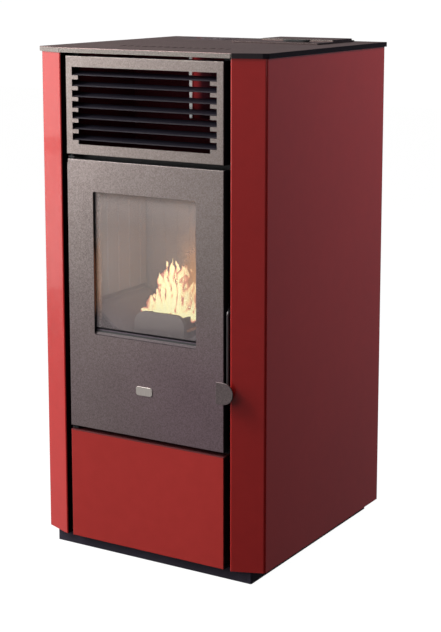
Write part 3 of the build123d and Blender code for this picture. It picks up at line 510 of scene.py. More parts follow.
def fire_glass():
    """clear pane with a black fired border along its left edge and foot"""
    m = Mat("fire_glass")
    x, y, z = m.sep()
    inside = m.less(m.math("ABSOLUTE", x), 0.1165)
    border = m.math("MAXIMUM", m.math("LESS_THAN", z, 0.4603), m.math("GREATER_THAN", m.math("ABSOLUTE", x), 0.1170))
    border = m.math("MAXIMUM", border, m.math("GREATER_THAN", z, 0.7268))
    nt = m.nt
    haze = m.noise(7.0, 3.0, 0.5)
    spots = m.noise(360.0, 2.5, 0.7)
    tr = m.n("ShaderNodeBsdfTransparent")
    m.l(m.ramp(haze, [(0.2, (0.90, 0.885, 0.87)), (0.8, (0.97, 0.96, 0.95))]), tr.inputs["Color"])
    # thin grey film that a used pane has; painted light makes it lighter near the top, painted shade makes it darker
    # near the bottom, and it covers more of the pane low down
    film = m.n("ShaderNodeBsdfDiffuse")
    fc = m.ramp(spots, [(0.34, (0.250, 0.224, 0.220)), (0.66, (0.455, 0.412, 0.402))])
    fc = m.mix(m.step(z, 0.66, 0.71), fc, m.mix(1.0, fc, (1.28, 1.28, 1.28), "MULTIPLY"))
    fc = m.mix(m.step(z, 0.56, 0.48), fc, m.mix(1.0, fc, (0.70, 0.68, 0.72), "MULTIPLY"))
    # painted light: the left edge of the pane lies in the shade of the cut-out, so the film there is painted lighter
    # to even out its tone
    painted_edge_light = m.step(x, -0.1020, -0.1165)
    fc = m.mix(painted_edge_light, fc, m.mix(1.0, fc, (3.1, 3.1, 3.1), "MULTIPLY"))
    # painted fire glow: orange on the film near the left edge and at the right, where the film is also thicker
    painted_fire_glow = m.all_of(m.step(x, -0.1000, -0.1150), m.step(z, 0.66, 0.60), m.step(z, 0.465, 0.53))
    painted_fire_glow = m.math("MAXIMUM", painted_fire_glow, m.all_of(m.step(x, 0.062, 0.112), m.step(z, 0.680, 0.575), m.step(z, 0.50, 0.56)))
    fc = m.mix(m.math("MULTIPLY", painted_fire_glow, 0.75), fc, (0.98, 0.52, 0.26))
    m.l(fc, film.inputs["Color"])
    gl = m.n("ShaderNodeBsdfGlossy")
    gl.inputs["Roughness"].default_value = 0.03
    fr = m.n("ShaderNodeFresnel")
    fr.inputs["IOR"].default_value = 1.5
    mx1 = m.n("ShaderNodeMixShader")
    low = m.math("MULTIPLY", m.step(z, 0.62, 0.46), 0.10)
    m.l(m.math("ADD", m.ramp(haze, [(0.3, 0.345), (0.7, 0.385)]), m.math("ADD", low, m.math("MULTIPLY", painted_fire_glow, 0.20))), mx1.inputs[0])
    m.l(tr.outputs[0], mx1.inputs[1])
    m.l(film.outputs[0], mx1.inputs[2])
    mx2 = m.n("ShaderNodeMixShader")
    m.l(fr.outputs[0], mx2.inputs[0])
    m.l(mx1.outputs[0], mx2.inputs[1])
    m.l(gl.outputs[0], mx2.inputs[2])
    fired = m.ramp(spots, [(0.3, (0.003, 0.002, 0.003)), (0.7, (0.006, 0.005, 0.006))])
    m.color(m.mix(m.all_of(inside, m.less(z, 0.4569)), fired, m.ramp(spots, [(0.3, (0.105, 0.085, 0.105)), (0.7, (0.150, 0.125, 0.148))])))
    m.set(Roughness=0.65, Specular_IOR_Level=0.10)
    mx3 = m.n("ShaderNodeMixShader")
    m.l(border, mx3.inputs[0])
    m.l(mx2.outputs[0], mx3.inputs[1])
    m.l(m.b.outputs[0], mx3.inputs[2])
    m.l(mx3.outputs[0], m.out.inputs[0])
    return m.m


def rope_fibre():
    m = Mat("rope_fibre")
    w1 = m.n("ShaderNodeTexWave", wave_type="BANDS", bands_direction="DIAGONAL")
    w1.inputs["Scale"].default_value = 120.0
    w1.inputs["Distortion"].default_value = 1.5
    m.l(m.co, w1.inputs["Vector"])
    g = m.noise(900.0, 3.0, 0.6)
    m.color(m.mix(0.5, m.ramp(w1.outputs["Fac"], [(0.2, (0.035, 0.035, 0.036)), (0.8, (0.10, 0.10, 0.10))]),
                  m.ramp(g, [(0.3, (0.04, 0.04, 0.04)), (0.7, (0.11, 0.11, 0.105))])))
    m.rough(m.ramp(g, [(0.3, 0.85), (0.7, 0.95)]))
    m.bump(m.math("ADD", w1.outputs["Fac"], m.math("MULTIPLY", g, 0.4)), 0.6, 0.0012)
    return m.m


def plastic(name, lo, hi, rough=0.45, scale=900.0, bump=0.12, spec=0.5):
    m = Mat(name)
    m.set(Specular_IOR_Level=spec)
    g = m.noise(scale, 2.0, 0.6)
    cl = m.noise(30.0, 2.0, 0.5)
    m.color(m.mix(1.0, m.ramp(g, [(0.3, lo), (0.7, hi)]), m.ramp(cl, [(0.3, 0.93), (0.7, 1.05)]), "MULTIPLY"))
    m.rough(m.ramp(g, [(0.3, rough - 0.04), (0.7, rough + 0.08)]))
    m.bump(g, bump, 0.0002)
    return m.m


def cast_alu():
    m = Mat("cast_alu")
    g = m.noise(360.0, 4.0, 0.6)
    cl = m.noise(20.0, 3.0, 0.5)
    m.color(m.mix(1.0, m.ramp(g, [(0.3, (0.34, 0.345, 0.35)), (0.7, (0.50, 0.505, 0.51))]),
                  m.ramp(cl, [(0.3, 0.88), (0.7, 1.06)]), "MULTIPLY"))
    m.rough(m.ramp(g, [(0.3, 0.40), (0.7, 0.55)]))
    m.set(Metallic=0.9)
    m.bump(g, 0.25, 0.0004)
    return m.m


def circuit_board():
    m = Mat("circuit_board")
    br = m.n("ShaderNodeTexBrick")
    br.inputs["Scale"].default_value = 90.0
    br.inputs["Mortar Size"].default_value = 0.06
    br.inputs["Color1"].default_value = (0.010, 0.085, 0.035, 1)
    br.inputs["Color2"].default_value = (0.012, 0.110, 0.045, 1)
    br.inputs["Mortar"].default_value = (0.03, 0.20, 0.09, 1)
    m.l(m.co, br.inputs["Vector"])
    x, y, z = m.sep()
    part = m.step(z, 0.9619, 0.9622)
    m.color(m.mix(part, br.outputs["Color"], m.ramp(m.noise(160.0), [(0.3, (0.012, 0.012, 0.013)), (0.7, (0.03, 0.03, 0.032))])))
    m.rough(m.ramp(m.noise(300.0), [(0.3, 0.3), (0.7, 0.5)]))
    m.bump(br.outputs["Fac"], 0.1, 0.0003)
    return m.m


def badge_metal():
    m = Mat("badge_metal")
    v = m.mapping((1100.0, 60.0, 60.0))
    g = m.noise(1.0, 3.0, 0.6, v)
    m.color(m.ramp(g, [(0.25, (0.52, 0.475, 0.44)), (0.75, (0.66, 0.61, 0.57))]))
    m.rough(m.ramp(g, [(0.2, 0.34), (0.8, 0.48)]))
    m.set(Metallic=0.6)
    m.bump(g, 0.06, 0.0002)
    return m.m


MAT = {
    "red": red_enamel(),
    # the lower panel's copy of the enamel is paler in green and blue as a painted reflection
    "red_front": red_enamel("red_front", (0.368, 0.0305, 0.0268), (0.402, 0.0338, 0.0300), 0.1790),
    "door": door_bronze(),
    "bronze": grille_bronze(),
    "top": top_bronze(),
    "lid": top_bronze(True),
    "tab": bronze("tab_bronze", (0.150, 0.118, 0.120), (0.285, 0.236, 0.238), (0.42, 0.36, 0.35)).m,
    "black": black_steel(),
    "plenum": dark_red_steel(),
    "outlet_red": outlet_sheet_red(),
    "plinth": navy_steel(),
    "fire_frame": fire_frame(),
    "tray": refractory("ash_tray_cast", True),
    "slat": slat_black(),
    "zinc": galvanised(),
    "steel": brushed("steel", (0.42, 0.415, 0.41), (0.60, 0.595, 0.585)),
    "rod": brushed("rod_steel", (0.115, 0.105, 0.110), (0.190, 0.178, 0.182), (900.0, 900.0, 60.0), (0.34, 0.44), 0.9),
    "pot": pot_iron(),
    "board_stone": refractory(),
    "soot": sooty_steel(),
    "glass": fire_glass(),
    "rope": rope_fibre(),
    "plastic": plastic("black_plastic", (0.010, 0.010, 0.011), (0.020, 0.020, 0.021)),
    "panel": plastic("mauve_panel", (0.085, 0.068, 0.074), (0.125, 0.102, 0.108), 0.66, spec=0.15),
    "key": plastic("grey_keys", (0.105, 0.090, 0.095), (0.150, 0.130, 0.135), 0.62, spec=0.15),
    "alu": cast_alu(),
    "pcb": circuit_board(),
    "rubber": plastic("foot_rubber", (0.012, 0.012, 0.012), (0.026, 0.026, 0.026), 0.7, 500.0, 0.3),
    "badge": badge_metal(),
}

NODE_MAT = {
    "red": ["side_panel_left", "side_panel_right"],
    "outlet_red": ["plenum_side_sheet"],
    "red_front": ["lower_front_panel"],
    "door": ["door_panel"],
    "bronze": ["grille_frame"],
    "top": ["top_plate"],
    "lid": ["hopper_lid"],
    "tab": ["handle_tab"],
    "black": ["front_frame", "door_brackets", "flue_collar", "hinge_pins"],
    "plenum": ["plenum_box"],
    "plinth": ["base_plinth"],
    "slat": ["grille_slats"],
    "zinc": ["base_pan", "plenum_upright", "rear_panel", "pellet_hopper", "auger_tube", "exhaust_fan_housing",
             "air_intake_pipe", "blower_housing", "blower_rotor", "riser_duct"],
    "steel": ["lid_hinge_pin", "rear_panel_screws", "ash_drawer", "igniter", "glass_retainers", "retainer_screws",
              "handle_pivot_pin", "auger_screw", "hopper_grid", "exhaust_impeller"],
    "rod": ["handle_lever"],
    "fire_frame": ["door_inner_frame"],
    "tray": ["burn_pot_tray"],
    "pot": ["burn_pot"],
    "board_stone": ["firebox_back_panel", "firebox_side_liners", "baffle_plate"],
    "soot": ["firebox_shell"],
    "glass": ["door_glass"],
    "rope": ["door_rope_seal", "glass_gasket"],
    "plastic": ["lid_grip", "power_inlet", "rocker_switch"],
    "panel": ["control_panel"],
    "key": ["button_power", "button_up", "button_down"],
    "alu": ["auger_gearmotor", "exhaust_motor", "blower_motor"],
    "pcb": ["control_board"],
    "rubber": ["levelling_feet"],
    "badge": ["badge_plate"],
}
for key, names in NODE_MAT.items():
    for nm in names:
        o = N[nm]
        o.data.materials.clear()
        o.data.materials.append(MAT[key])
left_over = [n for n in N if n not in sum(NODE_MAT.values(), [])]
assert not left_over, left_over


# ------------------------------------------------------------------ mesh helpers
def mesh_object(name, bm, mat, body, smooth=True):
    me = bpy.data.meshes.new(name)
    bm.normal_update()
    bm.to_mesh(me)
    bm.free()
    for p in me.polygons:
        p.use_smooth = smooth
    o = bpy.data.objects.new(name, me)
    scn.collection.objects.link(o)
    me.materials.append(mat)
    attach(o, body)
    return o


# ------------------------------------------------------------------ flame
def flame_material():
    m = Mat("flame")
    at = m.n("ShaderNodeAttribute", attribute_name="core")
    heat = at.outputs["Fac"]
    wob = m.noise(90.0, 3.0, 0.6, m.mapping((1.0, 1.0, 0.45)))
    lick = m.noise(150.0, 2.0, 0.5, m.mapping((1.0, 1.0, 0.22)))
    h = m.math("ADD", heat, m.math("MULTIPLY", m.math("SUBTRACT", wob, 0.5), 0.60))
    h = m.math("SUBTRACT", h, m.math("MULTIPLY", m.step(lick, 0.54, 0.68), 0.40))
    col = m.ramp(h, [(0.02, (0.58, 0.14, 0.12)), (0.20, (0.80, 0.26, 0.19)), (0.36, (0.95, 0.47, 0.29)),
                     (0.50, (1.0, 0.76, 0.40)), (0.66, (1.0, 0.94, 0.48)), (0.9, (1.0, 0.98, 0.56))])
    em = m.n("ShaderNodeEmission")
    m.l(col, em.inputs["Color"])
    m.l(m.math("MULTIPLY_ADD", m.step(h, -0.1, 0.5), 2.35, 1.0), em.inputs["Strength"])
    tr = m.n("ShaderNodeBsdfTransparent")
    mx = m.n("ShaderNodeMixShader")
    m.l(m.step(h, -0.02, 0.14), mx.inputs[0])
    m.l(tr.outputs[0], mx.inputs[1])
    m.l(em.outputs[0], mx.inputs[2])
    m.l(mx.outputs[0], m.out.inputs[0])
    return m.m


# each tongue: spine points in X, Z (mm), half widths along it (mm)
TONGUES = [
    ([(-4, 486), (-7, 520), (-11, 555), (-8, 588)], (22, 20, 12, 2)),
    ([(8, 486), (6, 530), (4, 562), (6, 586)], (20, 18, 11, 2)),
    ([(22, 488), (22, 530), (27, 562), (32, 579), (40, 568)], (19, 17, 11, 6, 2)),
    ([(32, 500), (38, 525), (46, 540), (54, 555)], (15, 12, 7, 2)),
    ([(-16, 486), (-20, 515), (-22, 542), (-24, 562)], (18, 15, 9, 2)),
    ([(-30, 484), (-32, 502), (-34, 526)], (17, 14, 3)),
    ([(-44, 483), (-46, 497), (-50, 513)], (15, 12, 3)),
    ([(-54, 481), (-62, 484), (-68, 487)], (10, 7, 1)),
    ([(42, 486), (50, 505), (52, 522), (44, 536)], (13, 9, 6, 1)),
    ([(52, 482), (58, 492), (60, 512)], (11, 8, 1)),
    ([(36, 478), (38, 470), (37, 463)], (12, 8, 1)),
    ([(-44, 484), (0, 488), (40, 486), (56, 482)], (9, 12, 12, 8)),
]


def seg_dist(p, a, b):
    ab = (b[0] - a[0], b[1] - a[1])
    l2 = ab[0] ** 2 + ab[1] ** 2
    t = 0.0 if l2 == 0 else max(0.0, min(1.0, ((p[0] - a[0]) * ab[0] + (p[1] - a[1]) * ab[1]) / l2))
    q = (a[0] + ab[0] * t, a[1] + ab[1] * t)
    return math.hypot(p[0] - q[0], p[1] - q[1]), t


def flame_density(x, z, seed, shrink=1.0):
    # warp grows with height, so that the tips flicker and the root stays on the pot
    k = max(0.0, min(1.0, (z - 478) / 90.0))
    n1 = noise.noise(Vector((x * 0.045, z * 0.028, seed)))
    n2 = noise.noise(Vector((x * 0.12, z * 0.07, seed + 7.3)))
    n3 = noise.noise(Vector((x * 0.30, z * 0.17, seed + 13.1)))
    xx = x + (9.0 * n1 + 4.0 * n2) * (0.25 + k) + 1.2 * n3
    zz = z + 5.0 * n2 * k + 2.0 * n3
    best = -1.0
    for pts, w in TONGUES:
        for i in range(len(pts) - 1):
            d, t = seg_dist((xx, zz), pts[i], pts[i + 1])
            hw = (w[i] + (w[i + 1] - w[i]) * t) * shrink
            v = 1.0 - d / max(hw, 0.6)
            if v > best:
                best = v
    holes = noise.noise(Vector((x * 0.11, z * 0.055, seed + 31.0)))
    rim = max(0.0, (x - 14) / 40.0)
    best -= max(0.0, holes - 0.28) * (1.1 + 2.2 * rim) * (0.4 + k)
    return best


def flame_sheet(name, v0, seed, shrink, mat, step=1.15, turn=0.0, cx=0.0):
    """one ragged sheet of flame, cut out of a fine grid and gently waved"""
    bm = bmesh.new()
    lay = bm.verts.layers.float.new("core")
    verts = {}
    x0, x1, z0, z1 = -76.0, 70.0, 460.0, 600.0
    nx, nz = int((x1 - x0) / step), int((z1 - z0) / step)
    dens = {}
    for i in range(nx + 1):
        for j in range(nz + 1):
            dens[i, j] = flame_density(x0 + i * step, z0 + j * step, seed, shrink)
    ca, sa = math.cos(turn), math.sin(turn)

    def vert(i, j):
        if (i, j) in verts:
            return verts[i, j]
        x, z = x0 + i * step, z0 + j * step
        wave = 7.0 * noise.noise(Vector((x * 0.03, z * 0.022, seed + 50))) + 2.0 * noise.noise(Vector((x * 0.09, z * 0.06, seed + 60)))
        lean = 4.0 * math.sin((x + 60) * 0.05)
        lx, lv = (x - cx), wave + lean
        px = cx + lx * ca - lv * sa
        pv = v0 + lx * sa + lv * ca
        w = bm.verts.new((px / 1000, YF + pv / 1000, z / 1000))
        w[lay] = dens[i, j]
        verts[i, j] = w
        return w

    for i in range(nx):
        for j in range(nz):
            q = ((i, j), (i + 1, j), (i + 1, j + 1), (i, j + 1))
            if sum(1 for c in q if dens[c] > 0.0) >= 3:
                bm.faces.new([vert(*c) for c in q])
    # drop crumbs smaller than 40 faces
    seen, groups = set(), []
    for f in bm.faces:
        if f in seen:
            continue
        stack, grp = [f], []
        seen.add(f)
        while stack:
            g = stack.pop()
            grp.append(g)
            for e in g.edges:
                for h in e.link_faces:
                    if h not in seen:
                        seen.add(h)
                        stack.append(h)
        groups.append(grp)
    small = [f for g in groups if len(g) < 40 for f in g]
    bmesh.ops.delete(bm, geom=small, context="FACES")
    bmesh.ops.smooth_vert(bm, verts=bm.verts, factor=0.5, use_axis_x=True, use_axis_y=True, use_axis_z=True)
    return mesh_object(name, bm, mat, "pot")


flame_mat = flame_material()
flame_sheet("flame_front", 93.0, 3.0, 1.0, flame_mat)
flame_sheet("flame_back", 112.0, 11.0, 0.86, flame_mat)


# ------------------------------------------------------------------ embers and pellets
def pellet_material():
    m = Mat("wood_pellets")
    g = m.noise(300.0, 4.0, 0.6, m.mapping((1.0, 1.0, 1.0)))
    cl = m.noise(60.0, 2.0, 0.5)
    m.color(m.mix(1.0, m.ramp(g, [(0.3, (0.34, 0.20, 0.095)), (0.7, (0.52, 0.34, 0.18))]),
                  m.ramp(cl, [(0.3, 0.75), (0.7, 1.15)]), "MULTIPLY"))
    m.rough(m.ramp(g, [(0.3, 0.55), (0.7, 0.75)]))
    m.bump(g, 0.4, 0.0006)
    return m.m


def ember_material():
    m = Mat("embers")
    g = m.noise(170.0, 4.0, 0.65)
    m.color(m.ramp(g, [(0.35, (0.030, 0.022, 0.018)), (0.7, (0.16, 0.09, 0.06))]))
    m.rough(m.ramp(g, [(0.3, 0.8), (0.7, 0.95)]))
    em = m.ramp(m.noise(110.0, 3.0, 0.6), [(0.42, (0.0, 0.0, 0.0)), (0.56, (0.9, 0.12, 0.02)), (0.72, (1.0, 0.55, 0.12))])
    m.l(em, m.b.inputs["Emission Color"])
    m.set(Emission_Strength=1.6)
    m.bump(g, 0.5, 0.001)
    return m.m


def pellet_heap(name, mat, body, rng, n, x0, x1, v0, v1, top, r=0.0030, layers=2):
    """loose pellets lying on a rounded heap; every one is a short rod with slightly broken ends"""
    bm = bmesh.new()
    for i in range(n):
        x, v = rng.uniform(x0, x1), rng.uniform(v0, v1)
        z = top(x, v) + rng.uniform(-0.6, 0.6) * r * layers
        length = rng.uniform(0.010, 0.022)
        d = Vector((rng.uniform(-1, 1), rng.uniform(-1, 1), rng.uniform(-0.35, 0.35))).normalized()
        q = d.to_track_quat("Z", "Y")
        mt = Matrix.Translation((x / 1000, YF + v / 1000, z)) @ q.to_matrix().to_4x4()
        got = bmesh.ops.create_cone(bm, cap_ends=True, segments=9, radius1=r * rng.uniform(0.93, 1.0),
                                    radius2=r * rng.uniform(0.93, 1.0), depth=length, matrix=mt)
        for w in got["verts"]:
            w.co += Vector([rng.uniform(-1, 1) for _ in range(3)]) * r * 0.06
    return mesh_object(name, bm, mat, body, smooth=False)


rng = random.Random(41)
embers = ember_material()
pellets = pellet_material()


def pot_top(x, v):
    return 0.4700 + 0.006 * math.cos(x / 40.0 * 1.4) * math.cos((v - 101.5) / 35.0 * 1.4)


pellet_heap("ember_bed", embers, "pot", rng, 130, -33, 33, 76, 127, pot_top)


def bin_top(x, v):
    return 0.880 + 0.018 * math.cos((x - 85) / 130.0 * 1.5) * math.cos((v - 400) / 90.0 * 1.5)


def pellet_floor():
    """the bed under the loose pellets: a lumpy surface from wall to wall of the hopper"""
    bm = bmesh.new()
    nx, nv = 66, 46
    x0, x1, v0, v1 = -47.0, 212.0, 311.0, 490.0
    grid = []
    for i in range(nx + 1):
        row = []
        for j in range(nv + 1):
            x, v = x0 + (x1 - x0) * i / nx, v0 + (v1 - v0) * j / nv
            z = bin_top(x, v) - 0.004 + 0.0022 * noise.noise(Vector((x * 0.12, v * 0.12, 4.0)))
            row.append(bm.verts.new((x / 1000, YF + v / 1000, z)))
        grid.append(row)
    for i in range(nx):
        for j in range(nv):
            bm.faces.new((grid[i][j], grid[i + 1][j], grid[i + 1][j + 1], grid[i][j + 1]))
    return mesh_object("pellet_bed", bm, pellets, "casing")


pellet_floor()
pellet_heap("hopper_pellets", pellets, "casing", rng, 620, -40, 206, 318, 484, bin_top)


# ------------------------------------------------------------------ display and key marks
def display_material():
    m = Mat("display_window")
    g = m.noise(240.0, 2.0, 0.5)
    m.color(m.ramp(g, [(0.3, (0.006, 0.006, 0.008)), (0.7, (0.011, 0.010, 0.013))]))
    m.rough(m.ramp(g, [(0.3, 0.10), (0.7, 0.16)]))
    m.set(Specular_IOR_Level=0.3)
    return m.m


def segment_material():
    m = Mat("display_segments")
    g = m.noise(900.0, 2.0, 0.5)
    m.color(m.ramp(g, [(0.3, (0.30, 0.035, 0.020)), (0.7, (0.40, 0.050, 0.030))]))
    m.rough(m.ramp(g, [(0.3, 0.4), (0.7, 0.5)]))
    em = m.ramp(g, [(0.3, (0.85, 0.09, 0.04)), (0.7, (1.0, 0.13, 0.06))])
    m.l(em, m.b.inputs["Emission Color"])
    m.set(Emission_Strength=0.10)
    return m.m


def print_material():
    m = Mat("pale_print")
    g = m.noise(1200.0, 2.0, 0.6)
    m.color(m.ramp(g, [(0.3, (0.52, 0.50, 0.49)), (0.7, (0.64, 0.62, 0.61))]))
    m.rough(m.ramp(g, [(0.3, 0.5), (0.7, 0.65)]))
    return m.m


def bar(bm, x, v, z, lx, lv, h, r=0.0):
    """thin flat bar with rounded ends, centred at x, v; z is its foot, all in mm"""
    r = min(lx, lv) / 2 * 0.9 if r == 0.0 else r
    ring = []
    for cx_, cv_, a0 in ((lx / 2 - r, lv / 2 - r, 0), (-lx / 2 + r, lv / 2 - r, 90),
                         (-lx / 2 + r, -lv / 2 + r, 180), (lx / 2 - r, -lv / 2 + r, 270)):
        for k in range(5):
            a = math.radians(a0 + 22.5 * k)
            ring.append((x + cx_ + r * math.cos(a), v + cv_ + r * math.sin(a)))
    lo = [bm.verts.new((px / 1000, YF + pv / 1000, z / 1000)) for px, pv in ring]
    hi = [bm.verts.new((px / 1000, YF + pv / 1000, (z + h) / 1000)) for px, pv in ring]
    n = len(ring)
    bm.faces.new(lo[::-1])
    bm.faces.new(hi)
    for i in range(n):
        bm.faces.new((lo[i], lo[(i + 1) % n], hi[(i + 1) % n], hi[i]))


def panel_details():
    top = 1000.0
    bm = bmesh.new()
    bar(bm, -148.0, 450.0, top + 0.302, 59.4, 23.4, 0.25, 1.0)
    mesh_object("display_window", bm, display_material(), "casing", smooth=False)
    # plain digits, read from the front of the stove
    segs = {"2": "abged", "1": "bc"}
    bm = bmesh.new()
    for ch, cx_ in (("2", -156.5), ("1", -141.0)):
        w, hh, t = 7.0, 6.6, 1.3
        place = {"a": (0, hh, w - 1.6, t), "g": (0, 0, w - 1.6, t), "d": (0, -hh, w - 1.6, t),
                 "b": (w / 2, hh / 2, t, hh - 1.6), "c": (w / 2, -hh / 2, t, hh - 1.6),
                 "e": (-w / 2, -hh / 2, t, hh - 1.6), "f": (-w / 2, hh / 2, t, hh - 1.6)}
        for sname in segs[ch]:
            dx, dv, lx, lv = place[sname]
            bar(bm, cx_ + dx, 450.0 + dv, top + 0.553, lx, lv, 0.12)
    mesh_object("display_digits", bm, segment_material(), "casing", smooth=False)
    mark = print_material()
    z = top + 1.802
    bm = bmesh.new()
    bar(bm, -100.0, 425.0, z, 5.4, 1.1, 0.08)
    bar(bm, -100.0, 427.0, z, 1.1, 1.6, 0.08)
    bar(bm, -100.0, 423.0, z, 1.1, 1.6, 0.08)
    mesh_object("mark_up", bm, mark, "key_up", smooth=False)
    bm = bmesh.new()
    bar(bm, -130.0, 425.0, z, 5.4, 1.1, 0.08)
    mesh_object("mark_down", bm, mark, "key_down", smooth=False)
    # power sign: an open ring with a bar in its gap
    bm = bmesh.new()
    ro_, ri_ = 3.0, 2.1
    pts = []
    for k in range(25):
        a = math.radians(90 + 38 + (360 - 76) * k / 24)
        pts.append((math.cos(a), math.sin(a)))
    rows = []
    for zz in (z, z + 0.08):
        rows.append([[bm.verts.new(((-100.0 + r * c) / 1000, YF + (450.0 + r * q) / 1000, zz / 1000)) for c, q in pts] for r in (ri_, ro_)])
    (li, lo), (hi, ho) = rows
    for k in range(24):
        bm.faces.new((hi[k], ho[k], ho[k + 1], hi[k + 1]))
        bm.faces.new((li[k + 1], lo[k + 1], lo[k], li[k]))
        bm.faces.new((lo[k], lo[k + 1], ho[k + 1], ho[k]))
        bm.faces.new((li[k + 1], li[k], hi[k], hi[k + 1]))
    for k in (0, 24):
        bm.faces.new((li[k], lo[k], ho[k], hi[k]) if k == 0 else (hi[k], ho[k], lo[k], li[k]))
    bmesh.ops.recalc_face_normals(bm, faces=bm.faces)
    bar(bm, -100.0, 452.2, z, 1.0, 3.4, 0.08)
    mesh_object("mark_power", bm, mark, "key_power", smooth=False)


panel_details()


# ------------------------------------------------------------------ studio
LIGHTS = {
    # name: (place, aim, size, watts, colour)
    "key_high": ((-1.9, -1.6, 2.5), (0.0, -0.1, 0.6), (1.4, 1.4), 90.0, (1.0, 0.985, 0.97)),
    "key_left": ((-2.6, -0.92, 1.38), (0.0, -0.92, 1.38), (1.5, 1.64), 9.0, (1.0, 0.97, 0.95)),
    "key_left_low": ((-2.6, -0.92, 0.26), (0.0, -0.92, 0.26), (1.5, 0.48), 1.6, (1.0, 0.95, 0.93)),
    "fill_low_left": ((-2.0, -0.5, 0.32), (-0.2, -0.2, 0.25), (0.8, 0.6), 24.0, (1.0, 0.97, 0.95)),
    "near_left": ((-1.0, -1.0, 1.9), (-0.1, -0.2, 0.8), (0.7, 0.7), 10.0, (1.0, 0.985, 0.96)),
    "door_soft": ((-1.30, -1.35, 0.80), (-0.2, -0.27, 0.78), (0.5, 0.7), 4.3, (1.0, 0.985, 0.96)),
    "front_soft": ((-0.6, -3.2, 1.7), (0.0, 0.0, 0.6), (1.6, 1.6), 17.0, (1.0, 1.0, 1.0)),
    "side_rear": ((1.05, 1.20, 1.45), (0.25, 0.2, 0.7), (0.7, 0.9), 17.5, (0.97, 0.96, 1.0)),
    "right_soft": ((2.8, -1.0, 1.6), (0.1, 0.0, 0.6), (1.4, 1.8), 5.0, (0.95, 0.95, 1.0)),
}
WORLD = {
    # name: (direction, power, strength, colour)
    "left": ((-1.0, 0.0, 0.0), 4.0, 0.55, (1.0, 0.97, 0.95)),
    "left_level": ((-0.95, -0.27, 0.10), 30.0, 0.12, (1.0, 0.97, 0.95)),
    "front": ((0.0, -1.0, 0.0), 4.0, 0.02, (1.0, 0.85, 1.0)),
    "front_right": ((0.252, -0.956, 0.151), 8.0, 0.26, (1.0, 0.95, 1.0)),
    "back": ((0.0, 1.0, 0.0), 4.0, 0.22, (0.95, 0.90, 1.0)),
    "back_right": ((0.461, 0.886, 0.090), 24.0, 0.13, (0.93, 0.76, 1.0)),
    "upper_left": ((-0.649, -0.699, 0.300), 20.0, 1.0, (1.0, 0.975, 0.96)),
}
DIFFUSE_ONLY = ("fill_low_left", "side_rear", "front_soft")


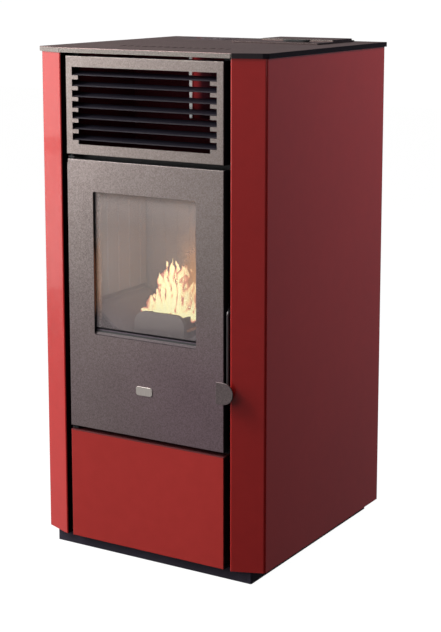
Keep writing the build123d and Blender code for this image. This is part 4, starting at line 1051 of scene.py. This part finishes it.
def studio():
    bm = bmesh.new()
    bmesh.ops.create_grid(bm, x_segments=40, y_segments=40, size=9.0)
    me = bpy.data.meshes.new("floor")
    bm.to_mesh(me)
    bm.free()
    floor = bpy.data.objects.new("floor", me)
    scn.collection.objects.link(floor)
    m = Mat("floor_pale")
    g = m.noise(3.0, 3.0, 0.5)
    m.color(m.ramp(g, [(0.3, (0.070, 0.070, 0.070)), (0.7, (0.074, 0.074, 0.074))]))
    m.set(Roughness=0.9, Specular_IOR_Level=0.0)
    m.b.inputs["Emission Color"].default_value = (1.0, 1.0, 1.0, 1.0)
    m.set(Emission_Strength=0.990)
    me.materials.append(m.m)
    # the floor carries the shadow; gloss and bounce light come from the studio round it
    floor.visible_glossy = False
    floor.visible_diffuse = False

    for name, (loc, aim, size, watts, colour) in LIGHTS.items():
        d = bpy.data.lights.new(name, "AREA")
        d.shape = "RECTANGLE"
        d.size, d.size_y = size
        d.energy = watts
        d.color = colour
        o = bpy.data.objects.new(name, d)
        o.location = loc
        o.rotation_euler = (Vector(aim) - Vector(loc)).to_track_quat("-Z", "Y").to_euler()
        o.visible_camera = False
        o.visible_glossy = name not in DIFFUSE_ONLY
        scn.collection.objects.link(o)

    # faint light between the slats, on the upright and the red sheet beside it
    d = bpy.data.lights.new("outlet_glow", "AREA")
    d.shape = "RECTANGLE"
    d.size, d.size_y = 0.040, 0.075
    d.energy = 0.034
    d.color = (1.0, 0.88, 0.78)
    o = bpy.data.objects.new("outlet_glow", d)
    o.location = (0.096, YF + 0.0245, 0.945)
    o.rotation_euler = Vector((0.0, 1.0, 0.0)).to_track_quat("-Z", "Y").to_euler()
    o.visible_camera = False
    o.visible_glossy = False
    scn.collection.objects.link(o)

    d = bpy.data.lights.new("outlet_dim", "AREA")
    d.shape = "RECTANGLE"
    d.size, d.size_y = 0.26, 0.03
    d.energy = 0.020
    d.color = (1.0, 0.85, 0.85)
    o = bpy.data.objects.new("outlet_dim", d)
    o.location = (-0.02, YF + 0.034, 0.985)
    o.rotation_euler = Vector((0.0, 0.19, -0.09)).to_track_quat("-Z", "Y").to_euler()
    o.visible_camera = False
    o.visible_glossy = False
    scn.collection.objects.link(o)

    # light of the fire, and daylight inside the firebox
    d = bpy.data.lights.new("fire_glow", "POINT")
    d.energy = 0.28
    d.color = (1.0, 0.45, 0.16)
    d.shadow_soft_size = 0.02
    o = bpy.data.objects.new("fire_glow", d)
    o.location = (0.0, YF + 0.13, 0.56)
    scn.collection.objects.link(o)
    d = bpy.data.lights.new("fire_glow_back", "POINT")
    d.energy = 0.10
    d.color = (1.0, 0.42, 0.14)
    d.shadow_soft_size = 0.015
    o = bpy.data.objects.new("fire_glow_back", d)
    o.location = (0.004, YF + 0.188, 0.585)
    o.visible_camera = False
    scn.collection.objects.link(o)
    # daylight through the window
    d = bpy.data.lights.new("window_fill", "AREA")
    d.shape = "RECTANGLE"
    d.size, d.size_y = 0.215, 0.262
    d.energy = 0.55
    d.color = (1.0, 0.99, 0.99)
    o = bpy.data.objects.new("window_fill", d)
    o.location = (0.0, YF + 0.0175, 0.590)
    o.rotation_euler = Vector((0.0, 1.0, 0.0)).to_track_quat("-Z", "Y").to_euler()
    o.visible_camera = False
    o.visible_glossy = False
    scn.collection.objects.link(o)

    w = bpy.data.worlds.new("studio")
    scn.world = w
    w.use_nodes = True
    nt = w.node_tree
    nt.nodes.clear()

    def node(kind, **props):
        x = nt.nodes.new(kind)
        for k, v in props.items():
            setattr(x, k, v)
        return x

    out = node("ShaderNodeOutputWorld")
    direction = node("ShaderNodeTexCoord").outputs["Generated"]
    total = None
    for name, (d0, power, strength, colour) in WORLD.items():
        dot = node("ShaderNodeVectorMath", operation="DOT_PRODUCT")
        nt.links.new(direction, dot.inputs[0])
        dot.inputs[1].default_value = d0
        pos = node("ShaderNodeMath", operation="MAXIMUM")
        nt.links.new(dot.outputs["Value"], pos.inputs[0])
        pos.inputs[1].default_value = 0.0
        pw = node("ShaderNodeMath", operation="POWER")
        nt.links.new(pos.outputs[0], pw.inputs[0])
        pw.inputs[1].default_value = power
        mul = node("ShaderNodeMath", operation="MULTIPLY", name="w_" + name)
        nt.links.new(pw.outputs[0], mul.inputs[0])
        mul.inputs[1].default_value = strength
        part = node("ShaderNodeBackground")
        part.inputs["Color"].default_value = (*colour, 1)
        nt.links.new(mul.outputs[0], part.inputs["Strength"])
        if total is None:
            total = part.outputs[0]
        else:
            add = node("ShaderNodeAddShader")
            nt.links.new(total, add.inputs[0])
            nt.links.new(part.outputs[0], add.inputs[1])
            total = add.outputs[0]
    white = node("ShaderNodeBackground", name="white")
    white.inputs["Color"].default_value = (1, 1, 1, 1)
    white.inputs["Strength"].default_value = 1.02
    mix = node("ShaderNodeMixShader")
    nt.links.new(node("ShaderNodeLightPath").outputs["Is Camera Ray"], mix.inputs[0])
    nt.links.new(total, mix.inputs[1])
    nt.links.new(white.outputs[0], mix.inputs[2])
    nt.links.new(mix.outputs[0], out.inputs["Surface"])


studio()
